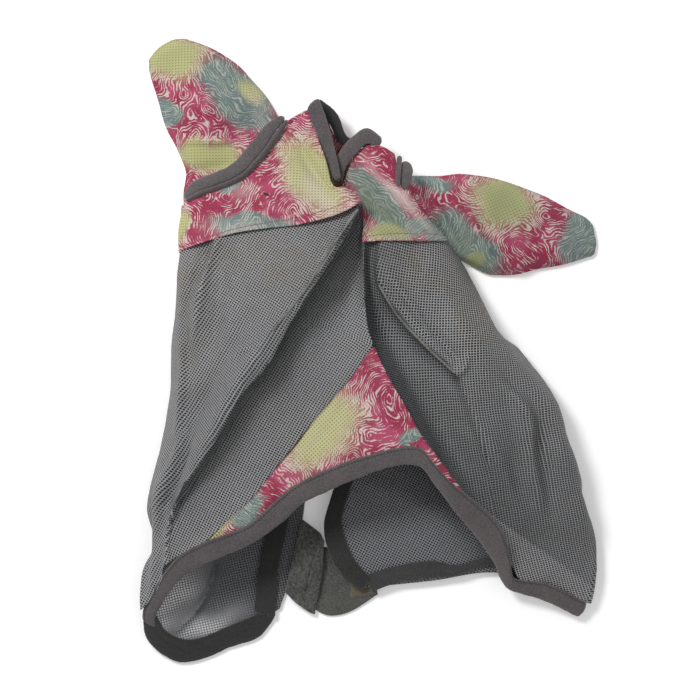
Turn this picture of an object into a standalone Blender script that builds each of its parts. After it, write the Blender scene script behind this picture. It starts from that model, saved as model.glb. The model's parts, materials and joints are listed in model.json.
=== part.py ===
"""A horse's fly mask, lying loose and face side up on a flat surface.

Lengths in the lists are millimetres: +X to the right, +Y towards the ears, +Z up from the surface.
Every cloth panel is a thin closed slab, lofted through rails: curves that run along the panel.
"""

import bpy
import bmesh
from mathutils import Vector

MM = 0.001
MESH_CLOTH = 1.5
PRINT_CLOTH = 2.0
EAR_CLOTH = 1.6
FLEECE = 4.0
LIGHT_FLEECE = 3.0
LOOP_PAD = 3.0
LOOP_BASE = 2.5
WEBBING = 2.0
TAPE = 1.6
THIN_TAPE = 1.2
PANEL_GAP = 0.45
SEAM_GAP = 1.6
HEM_GAP = 2.6
SEAM_INSET = 1.5
CURVE_STEPS = 8
EAR_AXIS_HEIGHT = 17.0
EAR_BACK_HEIGHT = 2.1
EAR_BACK_SWELL = 0.12
EAR_EDGE_HEIGHT = 8.0
WELT_WIDTH = 3.5
WELT_HEIGHT = 1.8
WELT_LIFT = 2.8

LEFT_EAR_AXIS = [(-189, 151, EAR_AXIS_HEIGHT), (-87, 236, EAR_AXIS_HEIGHT)]
RIGHT_EAR_AXIS = [(42, 178, EAR_AXIS_HEIGHT), (100, 78, EAR_AXIS_HEIGHT)]
JAW_TAB_AXIS = [(-68, -168, 12.0), (-86, -242, 12.0)]

# The seam between the two meshes and the gusset, from the crown to the ends of the nose binding.
NOSE_LINE = [(-6, 106, 49), (-7, 60, 55), (-1, 20, 59), (2, 3, 60)]
GUSSET_LEFT_SEAM = [(-25, -35, 56), (-60, -75, 54), (-90, -112, 54), (-116, -145, 55),
                    (-140, -168, 54), (-163, -188, 54)]
GUSSET_RIGHT_SEAM = [(15, -22, 66), (32, -54, 71), (49, -82, 75), (67, -107, 75), (92, -140, 64)]

LEFT_FACE = [
    [(-189, 95, 20), (-190, 60, 18), (-197, 20, 17), (-199, -20, 17), (-205, -70, 17), (-210, -110, 17),
     (-219, -155, 17), (-218, -190, 17), (-225, -220, 17), (-226, -254, 18)],
    [(-178, 101, 29), (-176, 60, 40), (-182, 20, 44), (-185, -20, 44), (-191, -70, 43), (-198, -110, 40),
     (-208, -155, 35), (-209, -190, 32), (-214, -220, 32), (-217, -243, 29)],
    [(-105, 118, 48), (-112, 60, 64), (-125, 15, 68), (-145, -30, 66), (-168, -75, 60), (-184, -115, 52),
     (-199, -155, 44), (-205, -190, 40), (-209, -226, 38)],
    [(-9, 142, 58), (-35, 94, 74), (-60, 56, 80), (-81, 21, 83), (-102, -17, 84), (-127, -45, 82),
     (-147, -81, 77), (-168, -113, 69), (-190, -147, 57), (-200, -181, 48), (-199, -209, 44)],
    [(-8, 131, 48), (-34, 84, 54), (-57, 44, 59), (-77, 12, 62), (-99, -27, 64), (-122, -56, 62),
     (-141, -91, 60), (-160, -123, 56), (-180, -156, 50), (-189, -186, 46), (-190, -205, 45)],
    [(-8, 118, 44), (-16, 70, 46), (-34, 18, 51), (-58, -36, 55), (-87, -84, 55), (-119, -125, 54),
     (-147, -156, 52), (-167, -183, 50), (-178, -196, 49)],
    NOSE_LINE + GUSSET_LEFT_SEAM,
]

RIGHT_FACE = [
    NOSE_LINE + GUSSET_RIGHT_SEAM,
    [(4, 106, 43), (10, 60, 44), (18, 20, 43), (33, -24, 44), (64, -84, 50), (92, -124, 55), (108, -154, 56)],
    [(15, 107, 49), (22, 60, 62), (40, 28, 68), (65, -2, 70), (92, -38, 66), (110, -80, 59), (120, -125, 55),
     (122, -167, 50)],
    [(35, 107, 46), (58, 62, 55), (85, 20, 59), (108, -20, 59), (126, -60, 56), (138, -110, 51),
     (142, -160, 44), (136, -200, 34)],
    [(55, 107, 39), (84, 62, 50), (115, 20, 53), (141, -20, 53), (162, -60, 50), (174, -110, 46),
     (176, -170, 37), (151, -228, 21)],
    [(70, 107, 29), (97, 64, 38), (134, 20, 41), (166, -24, 41), (188, -70, 39), (202, -120, 37),
     (208, -180, 31), (186, -235, 16)],
    [(77, 107, 18), (95, 78, 17), (110, 50, 16), (150, 5, 16), (185, -50, 16), (211, -124, 16),
     (212, -149, 16), (223, -180, 16), (224, -205, 15), (217, -251, 11)],
]

GUSSET = [
    [(-1, -6, 60)] + [(x + SEAM_INSET, y - SEAM_INSET, z) for x, y, z in GUSSET_LEFT_SEAM],
    [(1, -7, 61), (-22, -50, 61), (-60, -105, 60), (-93, -147, 58)],
    [(3, -8, 62), (-9, -55, 67), (-24, -95, 70), (-31, -111, 69)],
    [(4.5, -8, 62), (6, -50, 71), (8, -99, 78)],
    [(6, -8, 62), (13, -27, 68.5), (28, -60, 76), (45.5, -95, 82)],
]

# The gusset's right side, turned over the fold of the nose.
GUSSET_SIDE = [
    [(29, -51, 74), (38, -72, 79), (49, -93, 83), (62, -111, 81), (76, -129, 74), (86, -141, 66)],
    [(32, -51.5, 72), (42, -72, 75), (56, -93, 77), (68, -110, 75), (80, -126, 71), (88.5, -137.5, 65)],
]

LEFT_CROWN = [
    [(-188, 135, 20), (-190, 97, 21)],
    [(-171, 149, 31), (-178, 103, 33)],
    [(-131, 163, 40), (-136, 140, 45), (-136, 116, 48)],
    [(-102, 186, 43), (-104, 150, 50), (-104, 121, 53)],
    [(-86, 208, 43), (-80, 168, 53), (-68, 125, 60)],
    [(-71, 224, 44), (-52, 180, 56), (-30, 135, 64)],
    [(-63, 233, 44), (-46, 192, 52), (-36, 163, 58), (-22, 158, 64), (-7, 147, 67)],
]

RIGHT_CROWN = [
    [(-23, 160, 40), (-5, 141, 46), (1, 108, 51)],
    [(-19, 183, 38), (2, 150, 47), (14, 109, 53)],
    [(-7, 199, 38), (14, 155, 49), (34, 109, 52)],
    [(2, 204, 36), (26, 158, 47), (56, 109, 43)],
    [(12, 196, 33), (26, 165, 42), (48, 137, 44), (74, 110, 34)],
]

# The rear of the crown, lying on the surface, with its edge showing inside the forelock opening.
POLL_BAND = [
    [(-183, 143, 9), (-184, 118, 6), (-182, 94, 9)],
    [(-150, 172, 4), (-140, 130, 3.6), (-135, 90, 3.6)],
    [(-100, 216, 5), (-90, 150, 2.8), (-85, 90, 2.8)],
    [(-52, 240, 18), (-45, 170, 6), (-40, 90, 2.8)],
    [(-30, 206, 18), (-20, 160, 7), (-5, 90, 2.8)],
    [(12, 192, 18), (22, 150, 6.5), (30, 90, 3.8)],
    [(36, 170, 10), (60, 128, 4), (76, 96, 8)],
]
POLL_REAR_BINDING = [
    [(-55, 247, 24), (-41, 228, 22), (-31, 207, 20), (-12, 204, 19), (10, 203, 20)],
    [(-53, 255, 26), (-34, 236, 25), (-22, 212, 23), (-6, 214, 22), (12, 209, 22)],
]
POLL_BINDING_LEFT = [
    [(-64, 240, 45), (-48, 202, 50), (-37, 168, 55)],
    [(-56, 248, 43), (-41, 207, 48), (-30, 166, 52)],
    [(-50, 253, 38), (-35, 211, 42), (-26, 168, 46)],
]
POLL_BINDING_RIGHT = [
    [(-28, 170, 41), (-21, 187, 41), (-8, 202, 41), (2, 208, 39), (11, 200, 37)],
    [(-32, 178, 42), (-24, 196, 42), (-10, 209, 42), (3, 215, 39), (15, 204, 36)],
    [(-36, 184, 38), (-27, 202, 38), (-12, 216, 38), (3, 222, 35), (18, 208, 32)],
]
LEFT_RING = [
    [(-183, 141, 25), (-168, 153, 33), (-128, 168, 42), (-104, 192, 46), (-91, 212, 47), (-78, 227, 47)],
    [(-186, 145, 29), (-170, 158, 37), (-130, 172, 45), (-108, 195, 48), (-95, 215, 49), (-82, 230, 49)],
    [(-189, 149, 26), (-172, 163, 33), (-133, 176, 41), (-112, 198, 44), (-99, 218, 46), (-86, 233, 46)],
]
RIGHT_RING = [
    [(16, 200, 38), (22, 187, 41), (27, 172, 44), (31, 158, 47)],
    [(22, 202, 37), (28, 189, 41), (33, 174, 45), (36, 160, 48)],
    [(28, 196, 32), (34, 184, 37), (38, 171, 42), (39, 160, 46)],
]

LEFT_EAR_ROOT = [
    [(-185, 152, 19), (-186, 153.5, 18)],
    [(-163, 163, 29), (-166, 167, 17)],
    [(-130, 180, 34), (-138, 191, 17)],
    [(-108, 202, 36), (-113, 213, 17)],
    [(-93, 222, 37), (-93, 229, 17)],
]
LEFT_EAR_FRONT = [
    [(-186, 156, 13), (-184, 178, 12), (-192, 200, 12), (-203, 220, 11), (-210, 245, 10), (-220, 277, 9),
     (-221, 290, 8)],
    [(-164, 175, 16), (-176, 215, 20), (-192, 255, 19), (-211, 301, 10)],
    [(-136, 198, 16), (-155, 240, 23), (-178, 275, 20), (-199, 308, 10)],
    [(-110, 219, 16), (-130, 255, 19), (-155, 285, 16), (-190, 310, 10)],
    [(-90, 236, 13), (-102, 252, 12), (-115, 268, 12), (-131, 284, 11), (-155, 299, 9), (-183, 310, 8)],
]
RIGHT_EAR_ROOT = [
    [(41, 168, 33), (43, 174, 18)],
    [(37, 153, 38), (54, 156, 17)],
    [(56, 131, 28), (69, 131, 17)],
    [(78, 110, 24), (84, 105, 17)],
    [(84, 97, 14), (93, 91, 14)],
]
RIGHT_EAR_FRONT = [
    [(47, 172, 13), (70, 173, 13), (92, 175, 13), (135, 168, 12), (170, 155, 11), (200, 140, 10),
     (220, 128, 9), (226, 112, 8)],
    [(60, 150, 16), (95, 147, 24), (132, 143, 25), (180, 130, 20), (225, 106, 9)],
    [(75, 124, 16), (105, 118, 22), (135, 112, 23), (182, 107, 18), (224, 100, 9)],
    [(97, 86, 13), (120, 75, 12), (150, 77, 11), (190, 85, 10), (221, 93, 8)],
]

NOSE_BINDING_LEFT = [
    [(-226, -257, 20), (-202, -219, 42), (-188, -202, 50), (-163, -188, 57), (-120, -171, 60),
     (-93, -147, 64), (-71, -130, 67), (-30, -111, 74), (-2, -102, 79), (24, -95, 84), (48, -95, 86)],
    [(-222, -262, 23), (-199, -226, 41), (-181, -208, 50), (-156, -196, 57), (-119, -182, 61),
     (-90, -159, 65), (-68, -140, 68), (-36, -125, 73), (-10, -115, 79), (24, -105, 84), (49, -104, 87)],
    [(-214, -266, 19), (-192, -231, 34), (-171, -214, 44), (-149, -204, 50), (-119, -191, 54),
     (-88, -170, 58), (-66, -150, 61), (-42, -138, 66), (-18, -127, 71), (22, -113, 77), (49, -113, 80)],
]
NOSE_BINDING_RIGHT = [
    [(50, -96, 86), (60, -109, 84), (76, -127, 79), (93, -141, 69), (119, -163, 56), (131, -180, 48),
     (137, -204, 37), (143, -227, 25), (177, -233, 20), (217, -252, 14)],
    [(51, -104, 85), (62, -118, 81), (79, -140, 74), (98, -157, 62), (119, -180, 50), (129, -200, 39),
     (134, -218, 29), (144, -233, 22), (175, -240, 19), (213, -260, 12)],
    [(52, -112, 78), (63, -130, 71), (80, -154, 62), (100, -178, 47), (115, -198, 34), (126, -212, 26),
     (131, -226, 20), (142, -240, 17), (170, -249, 14), (209, -267, 8)],
]

LEFT_CHEEK = [
    [(-184, 86, 9), (-188, 20, 8), (-196, -70, 8), (-208, -150, 9), (-214, -220, 10), (-214, -260, 13)],
    [(-160, 86, 2.9), (-160, 10, 2.9), (-165, -80, 2.9), (-180, -170, 3), (-188, -240, 4), (-190, -280, 6)],
    [(-125, 86, 2), (-125, 0, 2), (-128, -90, 2), (-135, -180, 2), (-145, -240, 2.5), (-150, -277, 3)],
    [(-90, 86, 2), (-90, 0, 2), (-92, -90, 2), (-95, -180, 2.5), (-103, -235, 2.5), (-108, -257, 3)],
    [(-64, 86, 2), (-62, 0, 2), (-62, -90, 2), (-66, -160, 4), (-78, -220, 4), (-88, -253, 4)],
]
LEFT_CHEEK_HEM = [
    [(-226, -263, 16), (-224, -286, 10), (-209, -303, 6), (-188, -312, 4), (-163, -307, 3.5),
     (-137, -296, 3.5), (-113, -288, 3.5), (-102, -277, 3.5), (-94, -264, 3.5)],
    [(-220, -266, 16), (-215, -282, 11), (-201, -294, 8), (-184, -300, 6), (-163, -296, 6), (-137, -285, 6),
     (-114, -277, 6), (-106, -270, 6), (-97, -263, 6)],
    [(-213, -268, 13), (-204, -279, 9), (-193, -286, 6), (-180, -290, 4), (-163, -287, 3.5),
     (-137, -276, 3.5), (-116, -267, 3.5), (-110, -265, 3.5), (-99, -262, 3.5)],
]
LEFT_CLOSURE_TRIM = [
    [(-85, 84, 6), (-86, 0, 6), (-92, -90, 6), (-100, -170, 6), (-112, -222, 7), (-114, -258, 7)],
    [(-75, 84, 8), (-76, 0, 8), (-82, -90, 8), (-91, -170, 8), (-102, -222, 9), (-105, -258, 9)],
    [(-66, 84, 6), (-66, 0, 6), (-72, -90, 6), (-82, -174, 7), (-92, -222, 8), (-97, -258, 8)],
]
RIGHT_CHEEK = [
    [(87, 84, 9), (104, 46, 8), (143, -1, 8), (177, -55, 8), (202, -124, 8), (213, -185, 8), (212, -234, 8)],
    [(70, 86, 2.9), (90, 30, 2.9), (125, -30, 2.9), (155, -110, 3), (168, -180, 3.5), (168, -219, 5)],
    [(45, 86, 2), (62, 20, 2), (90, -50, 2.5), (112, -120, 4), (122, -180, 5), (124, -216, 6)],
    [(20, 86, 2), (32, 10, 2), (44, -70, 4), (52, -130, 8), (58, -180, 9), (62, -226, 7)],
    [(-2, 86, 2), (-4, 0, 2), (-12, -80, 5), (-30, -140, 9), (-35, -176, 9.5), (-24, -210, 9.5),
     (-6, -235, 8)],
]
RIGHT_CHEEK_HEM = [
    [(-6, -226, 12), (19, -217, 12), (58, -210, 12), (88, -214, 11), (122, -205, 10), (165, -226, 7),
     (203, -240, 8)],
    [(2, -232, 13.5), (22, -225, 14), (58, -219, 14), (88, -220, 13), (121, -211, 12), (164, -233, 9),
     (205, -247, 9)],
    [(4, -240, 10), (24, -232, 10), (58, -227, 10), (88, -225, 10), (120, -217, 9), (163, -240, 6),
     (206, -253, 6)],
]
RIGHT_CLOSURE_TRIM = [
    [(-3, 84, 6), (-6, 0, 6), (-17, -80, 9), (-40, -149, 13), (-45, -176, 13), (-40, -202, 13),
     (-27, -224, 13), (-12, -237, 13)],
    [(8, 84, 8), (4, 0, 8), (-8, -80, 11), (-31, -149, 15), (-36, -174, 15.5), (-32, -196, 15.5),
     (-21, -216, 15), (-8, -232, 14.5)],
    [(17, 84, 6), (13, 0, 6), (0, -80, 9), (-23, -149, 13), (-28, -171, 13.5), (-25, -188, 13.5),
     (-16, -208, 13), (-5, -225, 13)],
]

JAW_TAB_LEFT = [
    [(-66.6, -170, 10.5), (-75, -205, 11), (-84.5, -240, 9.5)],
    [(-52, -180, 11.5), (-61, -215, 12.5), (-70, -253, 9)],
    [(-45, -186, 10), (-46, -222, 11), (-51, -262, 7)],
    [(-41, -192, 8.5), (-40, -226, 8.5), (-42, -264, 6)],
]
JAW_TAB_RIGHT = [
    [(-60, -196, 3), (-62, -225, 3), (-66, -252, 2.5)],
    [(-40, -205, 3), (-40, -235, 3), (-43, -264, 2.5)],
    [(-20, -216, 3), (-18, -240, 3), (-21, -260, 2.5)],
    [(2, -226, 3), (5, -238, 3), (7, -243, 2.5)],
]
JAW_HOOK_PATCH = [
    [(-22, -221, 5.4), (-20, -246, 5.2)],
    [(6, -233, 5.4), (7, -241, 5.2)],
]
THROAT_TAB = [
    [(-60, 62, 3.6), (-60, 22, 3.6)],
    [(-8, 62, 5.2), (-8, 22, 5.2)],
    [(-5.5, 62, 5.6), (-5.5, 22, 5.6)],
]
THROAT_HOOK_PATCH = [
    [(-56, 58, 5.9), (-56, 26, 5.9)],
    [(-14, 58, 7.2), (-14, 26, 7.2)],
]

# The eye darts' paths, as shares of the way down and across their panels.
LEFT_DART = [(0.06, 0.73), (0.14, 0.68), (0.23, 0.62), (0.32, 0.55)]
RIGHT_DART = [(0.1, 0.3), (0.22, 0.32), (0.34, 0.34), (0.45, 0.35)]
DART_ROWS = 8
STRIP_COLUMNS = 3

# How finely each panel is drawn: points along its rails, and points across them.
NET = {
    "face_mesh_left": (19, 17),
    "face_mesh_right": (19, 15),
    "nose_gusset": (12, 11),
    "nose_gusset_side": (12, 3),
    "crown_panel_left": (9, 15),
    "crown_panel_right": (9, 10),
    "poll_band": (8, 16),
    "poll_binding_rear": (12, 3),
    "poll_binding_left": (9, 4),
    "poll_binding_right": (12, 4),
    "ear_ring": (16, 4),
    "ear_root": (4, 12),
    "ear_front": (14, 11),
    "nose_binding_left": (28, 4),
    "nose_binding_right": (24, 4),
    "cheek_hem_left": (22, 4),
    "cheek_hem_right": (18, 4),
    "closure_trim_left": (16, 4),
    "closure_trim_right": (20, 4),
    "cheek_flap_left": (16, 12),
    "cheek_flap_right": (16, 12),
    "jaw_tab_left": (8, 7),
    "jaw_tab_right": (6, 8),
    "jaw_hook_patch": (4, 4),
    "throat_tab": (4, 6),
    "throat_hook_patch": (3, 3),
}

GREY_MESH = (0.21, 0.21, 0.22)
RASPBERRY = (0.42, 0.05, 0.14)
LIME = (0.55, 0.6, 0.24)
TEAL = (0.22, 0.36, 0.37)
WARM_GREY = (0.1, 0.085, 0.09)
DARK_GREY = (0.03, 0.032, 0.03)
LOOP_GREY = (0.085, 0.09, 0.075)
TAN = (0.2, 0.16, 0.1)


def remove_everything():
    for old in list(bpy.data.objects):
        bpy.data.objects.remove(old, do_unlink=True)


def cloth_material(name, color, roughness=0.9):
    material = bpy.data.materials.new(name)
    material.use_nodes = True
    shader = material.node_tree.nodes["Principled BSDF"]
    shader.inputs["Base Color"].default_value = (*color, 1.0)
    shader.inputs["Roughness"].default_value = roughness
    shader.inputs["Metallic"].default_value = 0.0
    return material


def smooth_curve(points):
    """A fine polyline along a smooth curve through the points."""
    nodes = [Vector(point) for point in points]
    last = len(nodes) - 1
    stations = [0.0]
    for here, there in zip(nodes, nodes[1:]):
        stations.append(stations[-1] + (there - here).length)
    slopes = []
    for index in range(last + 1):
        before = max(index - 1, 0)
        after = min(index + 1, last)
        slopes.append((nodes[after] - nodes[before]) / (stations[after] - stations[before]))
    line = [nodes[0]]
    for index in range(last):
        span = stations[index + 1] - stations[index]
        for step in range(1, CURVE_STEPS + 1):
            t = step / CURVE_STEPS
            line.append(nodes[index] * (2 * t**3 - 3 * t**2 + 1)
                        + slopes[index] * span * (t**3 - 2 * t**2 + t)
                        + nodes[index + 1] * (3 * t**2 - 2 * t**3)
                        + slopes[index + 1] * span * (t**3 - t**2))
    return line


def evenly_spaced(points, count, trim):
    """Points at equal distances along the smooth curve, which is cut short by trim at both ends."""
    line = smooth_curve(points)
    stations = [0.0]
    for here, there in zip(line, line[1:]):
        stations.append(stations[-1] + (there - here).length)
    length = stations[-1] - 2 * trim
    spaced = []
    segment = 0
    for index in range(count):
        target = trim + length * index / (count - 1)
        while segment < len(line) - 2 and stations[segment + 1] < target:
            segment += 1
        share = (target - stations[segment]) / (stations[segment + 1] - stations[segment])
        spaced.append(line[segment].lerp(line[segment + 1], share))
    return spaced


def loft(rails, rows, columns, end_trim=PANEL_GAP, side_trim=PANEL_GAP):
    """A grid of points on the surface through the rails: rows go along them, columns across."""
    along = [evenly_spaced(rail, rows, end_trim) for rail in rails]
    return [evenly_spaced([rail[row] for rail in along], columns, side_trim) for row in range(rows)]


def grid_normals(grid):
    rows = len(grid)
    columns = len(grid[0])
    normals = []
    for row in range(rows):
        line = []
        for column in range(columns):
            along = grid[min(row + 1, rows - 1)][column] - grid[max(row - 1, 0)][column]
            across = grid[row][min(column + 1, columns - 1)] - grid[row][max(column - 1, 0)]
            line.append(across.cross(along).normalized())
        normals.append(line)
    if sum(normal.z for line in normals for normal in line) < 0:
        normals = [[-normal for normal in line] for line in normals]
    return normals


def slab(name, grid, thickness, color):
    """A closed thin solid with the grid as its middle surface."""
    normals = grid_normals(grid)
    rows = len(grid)
    columns = len(grid[0])
    shape = bmesh.new()
    layers = []
    for side in (0.5, -0.5):
        layer = []
        for line, line_normals in zip(grid, normals):
            offsets = [point + normal * thickness * side for point, normal in zip(line, line_normals)]
            layer.append([shape.verts.new(point * MM) for point in offsets])
        layers.append(layer)
    for layer in layers:
        for upper, lower in zip(layer, layer[1:]):
            for column in range(columns - 1):
                shape.faces.new((upper[column], upper[column + 1], lower[column + 1], lower[column]))
    rim = [(0, column) for column in range(columns)]
    rim += [(row, columns - 1) for row in range(1, rows)]
    rim += [(rows - 1, column) for column in range(columns - 2, -1, -1)]
    rim += [(row, 0) for row in range(rows - 2, 0, -1)]
    top, bottom = layers
    for (row, column), (next_row, next_column) in zip(rim, rim[1:] + rim[:1]):
        shape.faces.new((top[row][column], top[next_row][next_column],
                         bottom[next_row][next_column], bottom[row][column]))
    bmesh.ops.recalc_face_normals(shape, faces=shape.faces)
    mesh = bpy.data.meshes.new(name)
    shape.to_mesh(mesh)
    shape.free()
    mesh.shade_smooth()
    mesh.materials.append(cloth_material(name + "_cloth", color))
    piece = bpy.data.objects.new(name, mesh)
    bpy.context.collection.objects.link(piece)
    return piece


def panel(name, rails, thickness, color):
    return slab(name, loft(rails, *NET[name]), thickness, color)


def ear_back_grid(front):
    """The rear half of an ear cover: the same outline, laid almost flat."""
    return [[Vector((point.x, point.y, EAR_BACK_HEIGHT + EAR_BACK_SWELL * (point.z - EAR_EDGE_HEIGHT)))
             for point in line] for line in front]


def welt(name, grid, path):
    """A narrow raised strip on a face panel, along a path of (row share, column share) on its grid."""
    rows = len(grid)
    columns = len(grid[0])
    normals = grid_normals(grid)
    centre = []
    for row_share, column_share in path:
        row = row_share * (rows - 1)
        column = column_share * (columns - 1)
        upper = int(row)
        left = int(column)
        above = grid[upper][left].lerp(grid[upper][left + 1], column - left)
        below = grid[upper + 1][left].lerp(grid[upper + 1][left + 1], column - left)
        centre.append(above.lerp(below, row - upper) + normals[upper][left] * WELT_LIFT)
    side = (centre[-1] - centre[0]).cross(Vector((0, 0, 1))).normalized() * WELT_WIDTH / 2
    rails = [[point - side for point in centre], [point + side for point in centre]]
    return slab(name, loft(rails, DART_ROWS, STRIP_COLUMNS), WELT_HEIGHT, GREY_MESH)


def hinge_empty(name, axis):
    start, end = (Vector(point) for point in axis)
    pivot = bpy.data.objects.new(name, None)
    pivot.location = (start + end) / 2 * MM
    bpy.context.collection.objects.link(pivot)
    return pivot


def hang_on(piece, pivot):
    """Parent a moving piece to the empty on its joint's axis, leaving it where it is."""
    piece.parent = pivot
    piece.location = -pivot.location


def stand_on_origin():
    """Move everything so that the origin is the middle of the mask's box, on the surface."""
    bpy.context.view_layer.update()
    corners = []
    for piece in bpy.data.objects:
        if piece.type == "MESH":
            corners += [piece.matrix_world @ vertex.co for vertex in piece.data.vertices]
    low = Vector(min(corner[axis] for corner in corners) for axis in range(3))
    high = Vector(max(corner[axis] for corner in corners) for axis in range(3))
    shift = Vector((-(low.x + high.x) / 2, -(low.y + high.y) / 2, -low.z))
    for piece in bpy.data.objects:
        if piece.parent is None:
            piece.location += shift
    bpy.context.view_layer.update()


def build_face():
    left = loft(LEFT_FACE, *NET["face_mesh_left"], HEM_GAP, SEAM_GAP)
    right = loft(RIGHT_FACE, *NET["face_mesh_right"], HEM_GAP, SEAM_GAP)
    gusset = loft(GUSSET, *NET["nose_gusset"], HEM_GAP, SEAM_INSET)
    slab("face_mesh_left", left, MESH_CLOTH, GREY_MESH)
    slab("face_mesh_right", right, MESH_CLOTH, GREY_MESH)
    welt("eye_dart_left", left, LEFT_DART)
    welt("eye_dart_right", right, RIGHT_DART)
    slab("nose_gusset", gusset, PRINT_CLOTH, RASPBERRY)
    panel("nose_gusset_side", GUSSET_SIDE, EAR_CLOTH, RASPBERRY)


def build_crown():
    panel("crown_panel_left", LEFT_CROWN, PRINT_CLOTH, RASPBERRY)
    panel("crown_panel_right", RIGHT_CROWN, PRINT_CLOTH, TEAL)
    panel("poll_band", POLL_BAND, PRINT_CLOTH, TEAL)
    panel("poll_binding_rear", POLL_REAR_BINDING, FLEECE, DARK_GREY)
    panel("poll_binding_left", POLL_BINDING_LEFT, FLEECE, WARM_GREY)
    panel("poll_binding_right", POLL_BINDING_RIGHT, FLEECE, WARM_GREY)


def build_ear(side, root, front, ring, pivot):
    slab("ear_ring_" + side, loft(ring, *NET["ear_ring"]), FLEECE, WARM_GREY)
    slab("ear_root_" + side, loft(root, *NET["ear_root"]), EAR_CLOTH, RASPBERRY)
    grid = loft(front, *NET["ear_front"])
    hang_on(slab("ear_front_" + side, grid, EAR_CLOTH, LIME), pivot)
    hang_on(slab("ear_back_" + side, ear_back_grid(grid), EAR_CLOTH, TEAL), pivot)


def build_bindings():
    panel("nose_binding_left", NOSE_BINDING_LEFT, FLEECE, WARM_GREY)
    panel("nose_binding_right", NOSE_BINDING_RIGHT, FLEECE, WARM_GREY)
    panel("cheek_hem_left", LEFT_CHEEK_HEM, FLEECE, DARK_GREY)
    panel("cheek_hem_right", RIGHT_CHEEK_HEM, LIGHT_FLEECE, DARK_GREY)
    panel("closure_trim_left", LEFT_CLOSURE_TRIM, LIGHT_FLEECE, DARK_GREY)
    panel("closure_trim_right", RIGHT_CLOSURE_TRIM, LIGHT_FLEECE, DARK_GREY)


def build_cheeks():
    panel("cheek_flap_left", LEFT_CHEEK, MESH_CLOTH, GREY_MESH)
    panel("cheek_flap_right", RIGHT_CHEEK, MESH_CLOTH, GREY_MESH)


def build_closures(pivot):
    hang_on(panel("jaw_tab_left", JAW_TAB_LEFT, LOOP_PAD, LOOP_GREY), pivot)
    panel("jaw_tab_right", JAW_TAB_RIGHT, LOOP_BASE, LOOP_GREY)
    panel("jaw_hook_patch", JAW_HOOK_PATCH, TAPE, TAN)
    panel("throat_tab", THROAT_TAB, WEBBING, LOOP_GREY)
    panel("throat_hook_patch", THROAT_HOOK_PATCH, THIN_TAPE, TAN)


def main():
    remove_everything()
    build_face()
    build_crown()
    left_ear = hinge_empty("left_ear_axis", LEFT_EAR_AXIS)
    right_ear = hinge_empty("right_ear_axis", RIGHT_EAR_AXIS)
    build_ear("left", LEFT_EAR_ROOT, LEFT_EAR_FRONT, LEFT_RING, left_ear)
    build_ear("right", RIGHT_EAR_ROOT, RIGHT_EAR_FRONT, RIGHT_RING, right_ear)
    build_bindings()
    build_cheeks()
    build_closures(hinge_empty("jaw_tab_axis", JAW_TAB_AXIS))
    stand_on_origin()


main()
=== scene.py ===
"""The looks of a horse's fly mask that lies loose and face side up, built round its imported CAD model.

Lengths in the lists are millimetres in the panels' own plan: +X to the right, +Y towards the ears and +Z up
from the surface. Every cloth panel is lofted through rails, curves that run along it, and then creased.
"""

import json
import math

import bpy
import numpy as np
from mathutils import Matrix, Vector, noise


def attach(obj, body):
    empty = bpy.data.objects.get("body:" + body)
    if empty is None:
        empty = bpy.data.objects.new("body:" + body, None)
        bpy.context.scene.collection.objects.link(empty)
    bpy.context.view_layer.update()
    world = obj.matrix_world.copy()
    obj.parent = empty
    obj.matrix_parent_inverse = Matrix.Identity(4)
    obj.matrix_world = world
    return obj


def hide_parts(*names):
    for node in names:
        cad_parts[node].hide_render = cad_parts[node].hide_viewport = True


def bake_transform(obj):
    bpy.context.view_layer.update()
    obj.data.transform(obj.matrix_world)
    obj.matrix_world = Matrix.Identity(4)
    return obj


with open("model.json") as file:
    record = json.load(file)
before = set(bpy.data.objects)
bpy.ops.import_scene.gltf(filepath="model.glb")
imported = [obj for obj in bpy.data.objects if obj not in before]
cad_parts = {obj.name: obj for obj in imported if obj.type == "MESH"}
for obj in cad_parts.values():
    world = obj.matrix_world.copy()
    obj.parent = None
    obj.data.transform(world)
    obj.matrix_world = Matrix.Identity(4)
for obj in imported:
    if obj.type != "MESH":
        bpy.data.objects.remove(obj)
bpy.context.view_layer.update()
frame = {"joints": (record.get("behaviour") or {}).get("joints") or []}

MM = 0.001
# The middle of each ear's fold, and the direction in plan from the crown to the ear's tip.
EAR_AXES = {"left": ((-138.0, 193.5, 17.0), (-0.640, 0.768)), "right": ((71.0, 128.0, 17.0), (0.865, 0.502))}

joints = {joint["name"]: joint for joint in frame["joints"]}
ORIGIN = np.array(joints["left_ear_fold"]["pos_m"]) / MM - np.array(EAR_AXES["left"][0])

# ---------------------------------------------------------------- rails of the cloth panels

NOSE_LINE = [(-6, 108, 51), (-7, 60, 56), (-2, 20, 59), (2, 3, 61)]
GUSSET_LEFT_SEAM = [(-25, -35, 57), (-60, -75, 56), (-90, -112, 55), (-116, -145, 55),
                    (-140, -168, 55), (-166, -190, 55)]
GUSSET_RIGHT_SEAM = [(15, -22, 66), (32, -54, 71), (49, -82, 75), (67, -107, 75), (94, -143, 64)]

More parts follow.
